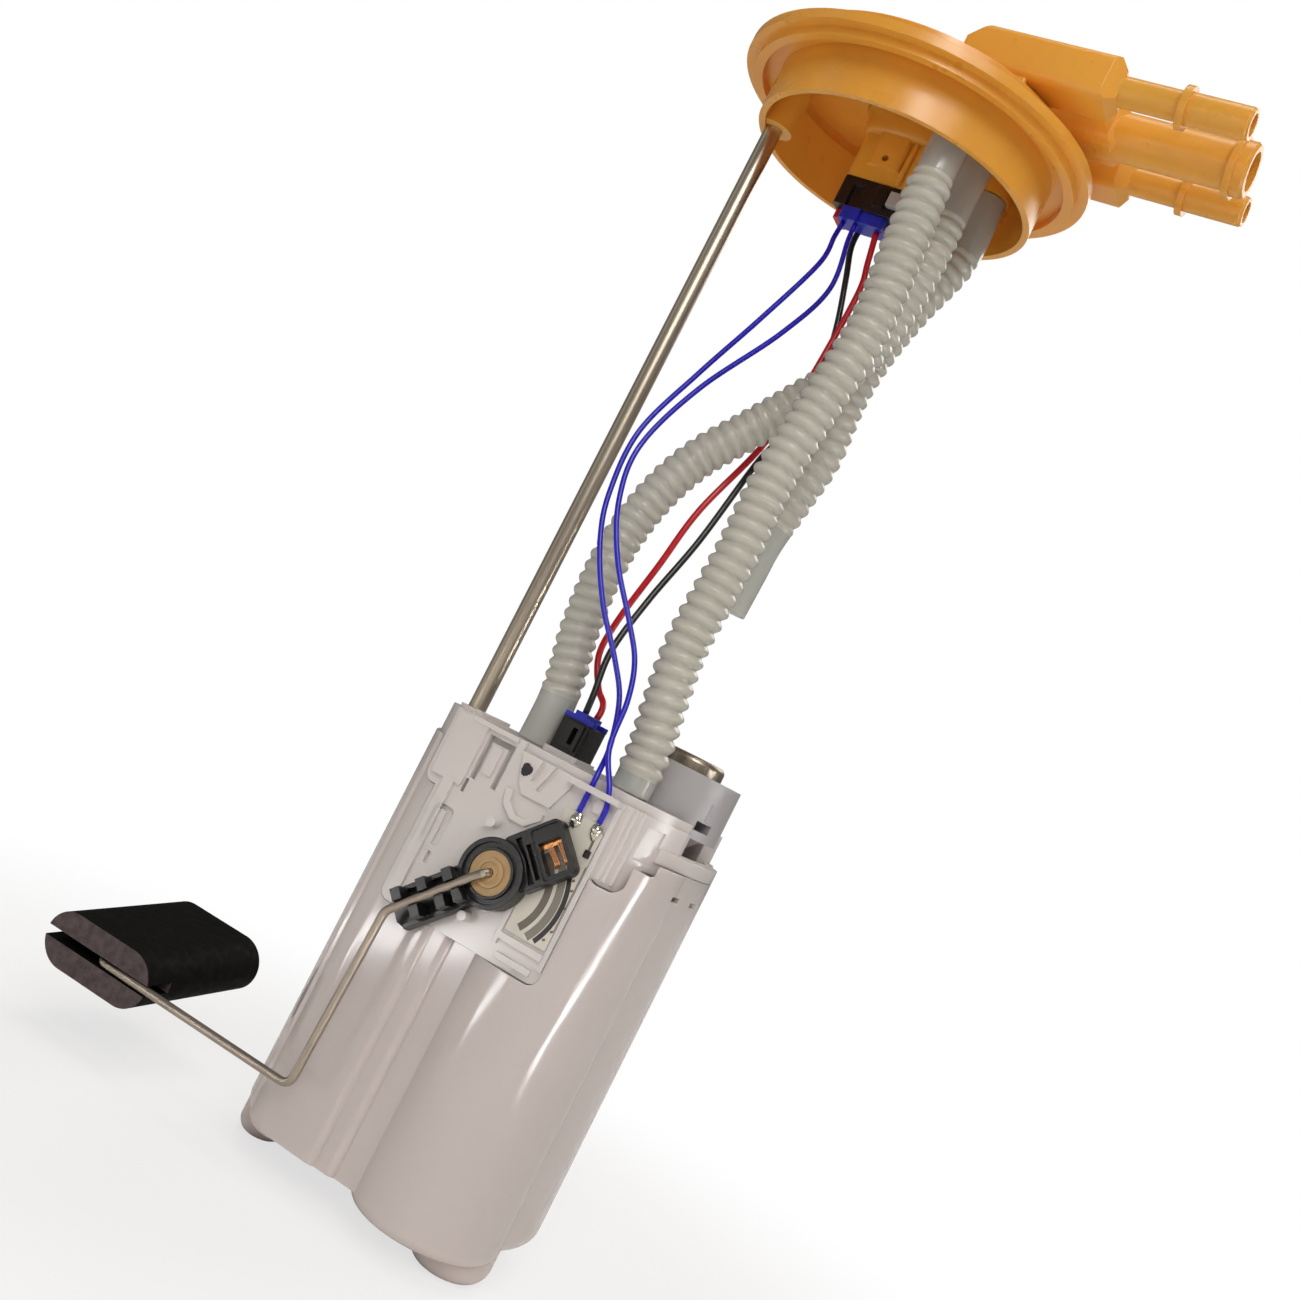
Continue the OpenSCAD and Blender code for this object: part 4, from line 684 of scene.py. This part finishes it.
def make_wire_ends():
    for k, (top, tip, radii) in enumerate(WIRE_ENDS):
        line = [Vector(top).lerp(Vector(tip), t / STRAND_STEPS) for t in range(STRAND_STEPS + 1)]
        verts, faces = tube_mesh(line, [STRAND_RADIUS] * len(line), STRAND_SIDES)
        add_faces(f"wire_end_{k}", verts, faces, "solder", "reservoir")
        middle = (tip[0], CARD_FACE_Y - SOLDER_RISE, tip[2] - SOLDER_DROP)
        solder_blob(f"solder_blob_{k}", middle, radii, SOLDER_SEED + k)


# Panel: the wall behind its slots, and the ink spot on its shield

SLOT_BACKING_X = (-19.8, -8.0)
SLOT_BACKING_Y = (PANEL_Y + 2.6, PANEL_Y + 3.1)
SLOT_BACKING_Z = (FEET_Z + 138, FEET_Z + 154.4)
SLOT_BACKING_EDGE = 0.15
SHIELD_Y = PANEL_Y - 1.2
INK_AT = (-1.4, FEET_Z + 149.4)
INK_RADIUS = 1.9
INK_TALL = 1.1
INK_LOBES = 0.1
INK_RAGGED = 0.07
INK_THICK = 0.03
INK_CORNERS = 36
INK_SEED = 5


def make_slot_backing():
    """Pale inner wall that shows through the slots beside the snap tongue."""
    low, high = zip(SLOT_BACKING_X, SLOT_BACKING_Y, SLOT_BACKING_Z)
    rounded_box("cover_slot_backing", low, high, SLOT_BACKING_EDGE, "white_plastic", "reservoir")


def make_ink_spot():
    """Ink spot on the shield, with an uneven rim."""
    wobble = random.Random(INK_SEED)
    corners = []
    for k in range(INK_CORNERS):
        w = math.tau * k / INK_CORNERS
        r = INK_RADIUS * (1 + INK_LOBES * math.sin(3 * w + 1) + wobble.uniform(-INK_RAGGED, INK_RAGGED))
        corners.append((INK_AT[0] + r * math.cos(w), INK_AT[1] + INK_TALL * r * math.sin(w)))
    flat_mark("shield_ink_spot", corners, INK_THICK, "ink", SHIELD_Y)


# Wiper: a strip across the window, and two groups of three sprung fingers on the card

# along the lever and across it, from and to
STRIP_ALONG = (16.6, 23.8)
STRIP_ACROSS = (1.9, 3.4)
STRIP_OFF = 1.95
# first finger of each group, along the lever
WIPER_GROUPS = (18.3, 21.7)
FINGERS = 3
FINGER_WIDTH = 0.5
FINGER_GAP = 0.16
SHEET = 0.12
# across the lever, and how far the finger stands off the card's face
FINGER_LINE = [(2.4, 2.0), (1.5, 2.05), (1.0, 1.9), (0.2, 1.35), (-1.2, 0.7), (-2.6, 0.28), (-3.6, 0.2),
               (-4.6, 0.45)]


def on_lever(u, v):
    """Point (x, z) of the lever's own frame, u along it and v across it."""
    w = math.radians(LEVER_ANGLE)
    return PIVOT.x + u * math.cos(w) - v * math.sin(w), PIVOT.z + u * math.sin(w) + v * math.cos(w)


def make_wiper():
    verts, faces = [], []

    def ribbon(u0, u1, line):
        start = len(verts)
        for v, off in line:
            for u, y in ((u0, off), (u1, off), (u1, off + SHEET), (u0, off + SHEET)):
                x, z = on_lever(u, v)
                verts.append((x, CARD_FACE_Y - y, z))
        for i in range(len(line) - 1):
            for k in range(4):
                a, b = start + 4 * i + k, start + 4 * i + (k + 1) % 4
                faces.append((a, a + 4, b + 4, b))
        last = start + 4 * (len(line) - 1)
        faces.append((start, start + 1, start + 2, start + 3))
        faces.append((last + 3, last + 2, last + 1, last))

    low, high = STRIP_ACROSS
    ribbon(*STRIP_ALONG, [(high, STRIP_OFF), (low, STRIP_OFF)])
    for first in WIPER_GROUPS:
        for k in range(FINGERS):
            u = first + k * (FINGER_WIDTH + FINGER_GAP)
            ribbon(u, u + FINGER_WIDTH, FINGER_LINE)
    piece = add_faces("wiper_contacts_stamped", verts, faces, "copper_alloy", smooth=False)
    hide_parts("wiper_contacts")
    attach(piece, "float_arm")


# Harness boss: a rounded collar where it leaves the flange, and upright flutes beside its sight hole

BOSS_AT = (-6.0, 10.5)
BOSS_CEILING = 7.4
BOSS_FACE_Y = 3.6
# height over the ceiling, half widths in x and y
BOSS_COLLAR = [(0.3, 17.2, 13.8), (-0.6, 15.9, 12.5), (-1.8, 15.2, 11.8), (-3.4, 14.8, 11.4),
               (-5.6, 14.6, 11.2), (-7.2, 14.3, 10.9), (-8.2, 13.6, 10.2), (-8.7, 12.6, 9.2),
               (-8.8, 11.0, 7.0)]
COLLAR_SIDES = 72
# 2 is an ellipse, more is squarer
COLLAR_SQUARENESS = 3.2
# from and to in x, front face in y
BOSS_FLUTES = [(0.7, 2.7, 1.7), (3.5, 5.4, 2.0)]
FLUTE_Z = (-17.6, -1.2)
FLUTE_EDGE = 0.8
FLUTE_EDGE_STEPS = 4


def make_boss_collar():
    power = COLLAR_SQUARENESS
    verts, faces = [], []
    for rise, half_x, half_y in BOSS_COLLAR:
        for k in range(COLLAR_SIDES):
            c, s = math.cos(math.tau * k / COLLAR_SIDES), math.sin(math.tau * k / COLLAR_SIDES)
            reach = (abs(c) ** power + abs(s) ** power) ** (-1 / power)
            verts.append((BOSS_AT[0] + half_x * c * reach, BOSS_AT[1] + half_y * s * reach,
                          BOSS_CEILING + rise))
    for ring in range(len(BOSS_COLLAR) - 1):
        for k in range(COLLAR_SIDES):
            a, b = ring * COLLAR_SIDES + k, ring * COLLAR_SIDES + (k + 1) % COLLAR_SIDES
            faces.append((a, a + COLLAR_SIDES, b + COLLAR_SIDES, b))
    faces.append(tuple(range(COLLAR_SIDES)))
    faces.append(tuple(reversed(range(len(verts) - COLLAR_SIDES, len(verts)))))
    add_faces("harness_boss_collar", verts, faces, "amber_plastic", "flange")


def make_boss_flutes():
    bottom, top = FLUTE_Z
    for k, (x0, x1, face_y) in enumerate(BOSS_FLUTES):
        rounded_box(f"harness_boss_flute_{k}", (x0, face_y, bottom), (x1, BOSS_FACE_Y, top), FLUTE_EDGE,
                    "amber_plastic", "flange", FLUTE_EDGE_STEPS)


# Stage: sizes in metres, tones from 0 to 1

FLOOR_HALF = 4.0
FLOOR_TONES = (0.965, 0.98)
FLOOR_SHADOW_RADIUS = 0.12
FLOOR_FADE_RADIUS = 0.36
# share of plain white over the paper, near the feet and far out
FLOOR_WHITE_NEAR = 0.68
FLOOR_WHITE_FAR = 1.0
ROOM_TINT = (1.0, 0.965, 0.93, 1)
ROOM_LIGHT = 0.18
PURE_WHITE = (1, 1, 1, 1)


def make_floor():
    """Pale paper that keeps the shadow near the feet and turns into the white of the room farther out."""
    mesh = bpy.data.meshes.new("floor")
    corners = [(x * FLOOR_HALF, y * FLOOR_HALF, FEET_Z * MM) for x, y in ((-1, -1), (1, -1), (1, 1), (-1, 1))]
    mesh.from_pydata(corners, [], [(0, 1, 2, 3)])
    floor = bpy.data.objects.new("floor", mesh)
    bpy.context.scene.collection.objects.link(floor)
    s = Shader("floor_paper")
    tones = [(tone, tone, tone) for tone in FLOOR_TONES]
    s.colour(s.ramp(s.noise(60, 2), list(zip((NOISE_LOW, NOISE_HIGH), tones))))
    s.set(Roughness=0.9, Specular_IOR_Level=0.1)
    nodes = s.nodes
    distance = nodes.new("ShaderNodeVectorMath")
    distance.operation = "LENGTH"
    s.link(s.stretched((1, 1, 0)), distance.inputs[0])
    fade = nodes.new("ShaderNodeMapRange")
    fade.interpolation_type = "SMOOTHSTEP"
    fade.inputs["From Min"].default_value = FLOOR_SHADOW_RADIUS
    fade.inputs["From Max"].default_value = FLOOR_FADE_RADIUS
    fade.inputs["To Min"].default_value = FLOOR_WHITE_NEAR
    fade.inputs["To Max"].default_value = FLOOR_WHITE_FAR
    s.link(distance.outputs["Value"], fade.inputs["Value"])
    path = nodes.new("ShaderNodeLightPath")
    white = nodes.new("ShaderNodeEmission")
    white.inputs["Color"].default_value = PURE_WHITE
    white.inputs["Strength"].default_value = 1.0
    mixed = nodes.new("ShaderNodeMixShader")
    s.link(s.math("MULTIPLY", fade.outputs["Result"], path.outputs["Is Camera Ray"]), mixed.inputs[0])
    s.link(s.surface.outputs["BSDF"], mixed.inputs[1])
    s.link(white.outputs["Emission"], mixed.inputs[2])
    s.link(mixed.outputs["Shader"], nodes["Material Output"].inputs["Surface"])
    mesh.materials.append(s.material)


def make_room():
    """Soft even light, seen as pure white by the camera and through clear plastic."""
    world = bpy.data.worlds.new("studio")
    bpy.context.scene.world = world
    world.use_nodes = True
    nodes, links = world.node_tree.nodes, world.node_tree.links
    nodes.clear()
    out = nodes.new("ShaderNodeOutputWorld")
    mixed = nodes.new("ShaderNodeMixShader")
    soft = nodes.new("ShaderNodeBackground")
    soft.inputs["Color"].default_value = ROOM_TINT
    soft.inputs["Strength"].default_value = ROOM_LIGHT
    seen = nodes.new("ShaderNodeBackground")
    seen.inputs["Color"].default_value = PURE_WHITE
    seen.inputs["Strength"].default_value = 1.0
    path = nodes.new("ShaderNodeLightPath")
    either = nodes.new("ShaderNodeMath")
    either.operation = "MAXIMUM"
    links.new(path.outputs["Is Camera Ray"], either.inputs[0])
    links.new(path.outputs["Is Transmission Ray"], either.inputs[1])
    links.new(either.outputs[0], mixed.inputs[0])
    links.new(soft.outputs[0], mixed.inputs[1])
    links.new(seen.outputs[0], mixed.inputs[2])
    links.new(mixed.outputs[0], out.inputs["Surface"])


# Lights

WARM = (1, 0.955, 0.905)
WHITE = (1, 1, 1)
LIGHTS_AIM = (0, 0, -0.2)
# name, place, width and height in metres, watts
SOFT_LIGHTS = [("key", (0.75, -1.3, 0.75), (0.9, 0.9), 11.6),
               ("left", (-1.3, -0.9, 0.3), (0.5, 1.3), 0.8),
               ("right", (1.5, -0.2, 0.2), (0.6, 1.4), 0.6),
               ("low", (-0.3, -1.5, -0.55), (0.9, 0.4), 8),
               ("back", (0.3, 1.5, 0.8), (1.2, 0.8), 8),
               ("top", (0.1, -0.1, 1.6), (1.0, 1.0), 10)]
GLINT_AT = (0.42, -1.25, 0.8)
GLINT_SIZE = (0.22, 0.22)
GLINT_WATTS = 6
# name, lower and upper end, what it shines on and width in millimetres, radiance
STREAK_RIGHT = ("streak_right", (305, -185, -394), (390, 120, -160), (26, -17, -320), 13, 30)
STREAK_LEFT = ("streak_left", (-210, -265, -385), (-109, -325, -346), (-28, -39, -330), 14, 18)


def area_light(name, place, size, watts, colour):
    data = bpy.data.lights.new(name, "AREA")
    data.shape = "RECTANGLE"
    data.size, data.size_y = size
    data.energy = watts
    data.color = colour
    lamp = bpy.data.objects.new(name, data)
    bpy.context.scene.collection.objects.link(lamp)
    lamp.location = place
    lamp.rotation_euler = (Vector(LIGHTS_AIM) - Vector(place)).to_track_quat("-Z", "Y").to_euler()
    lamp.visible_camera = False
    return lamp


def strip_light(name, low, high, aim, width, radiance):
    """Slim lamp from low to high, in millimetres, that only shines as a streak on glossy surfaces."""
    low, high = Vector(low) * MM, Vector(high) * MM
    middle = (low + high) / 2
    long = (high - low).normalized()
    away = middle - Vector(aim) * MM
    away = (away - away.dot(long) * long).normalized()
    length = (high - low).length
    watts = radiance * math.pi * width * MM * length
    lamp = area_light(name, middle, (width * MM, length), watts, WHITE)
    turn = Matrix((long.cross(away), long, away)).transposed()
    lamp.rotation_euler = turn.to_euler()
    lamp.visible_diffuse = False


def make_lights():
    for name, place, size, watts in SOFT_LIGHTS:
        area_light(name, place, size, watts, WARM)
    strip_light(*STREAK_RIGHT)
    glint = area_light("glint", GLINT_AT, GLINT_SIZE, GLINT_WATTS, WHITE)
    glint.visible_diffuse = False
    strip_light(*STREAK_LEFT)


# Materials on the CAD nodes

# nodes with a look of their own in place of their slot's
OWN_LOOKS = {"float_arm": "arm_steel"}


def dress_nodes():
    slots = {part["node"]: part["material_slot"] for part in frame["record"]["subparts"]}
    for name, node in frame["nodes"].items():
        node.data.materials.clear()
        node.data.materials.append(MATERIALS[OWN_LOOKS.get(name, slots[name])])


make_camera()
MATERIALS = make_materials()
for wire in WIRES:
    make_wire(*wire)
for hose in HOSES:
    make_hose(*hose)
for spring, angle in SPRING_ANGLES.items():
    make_spring(spring, angle)
dress_nodes()
make_card_print()
make_wire_ends()
make_ink_spot()
make_slot_backing()
make_wiper()
make_boss_collar()
make_boss_flutes()
make_floor()
make_room()
make_lights()
bpy.context.scene.view_settings.view_transform = "Standard"
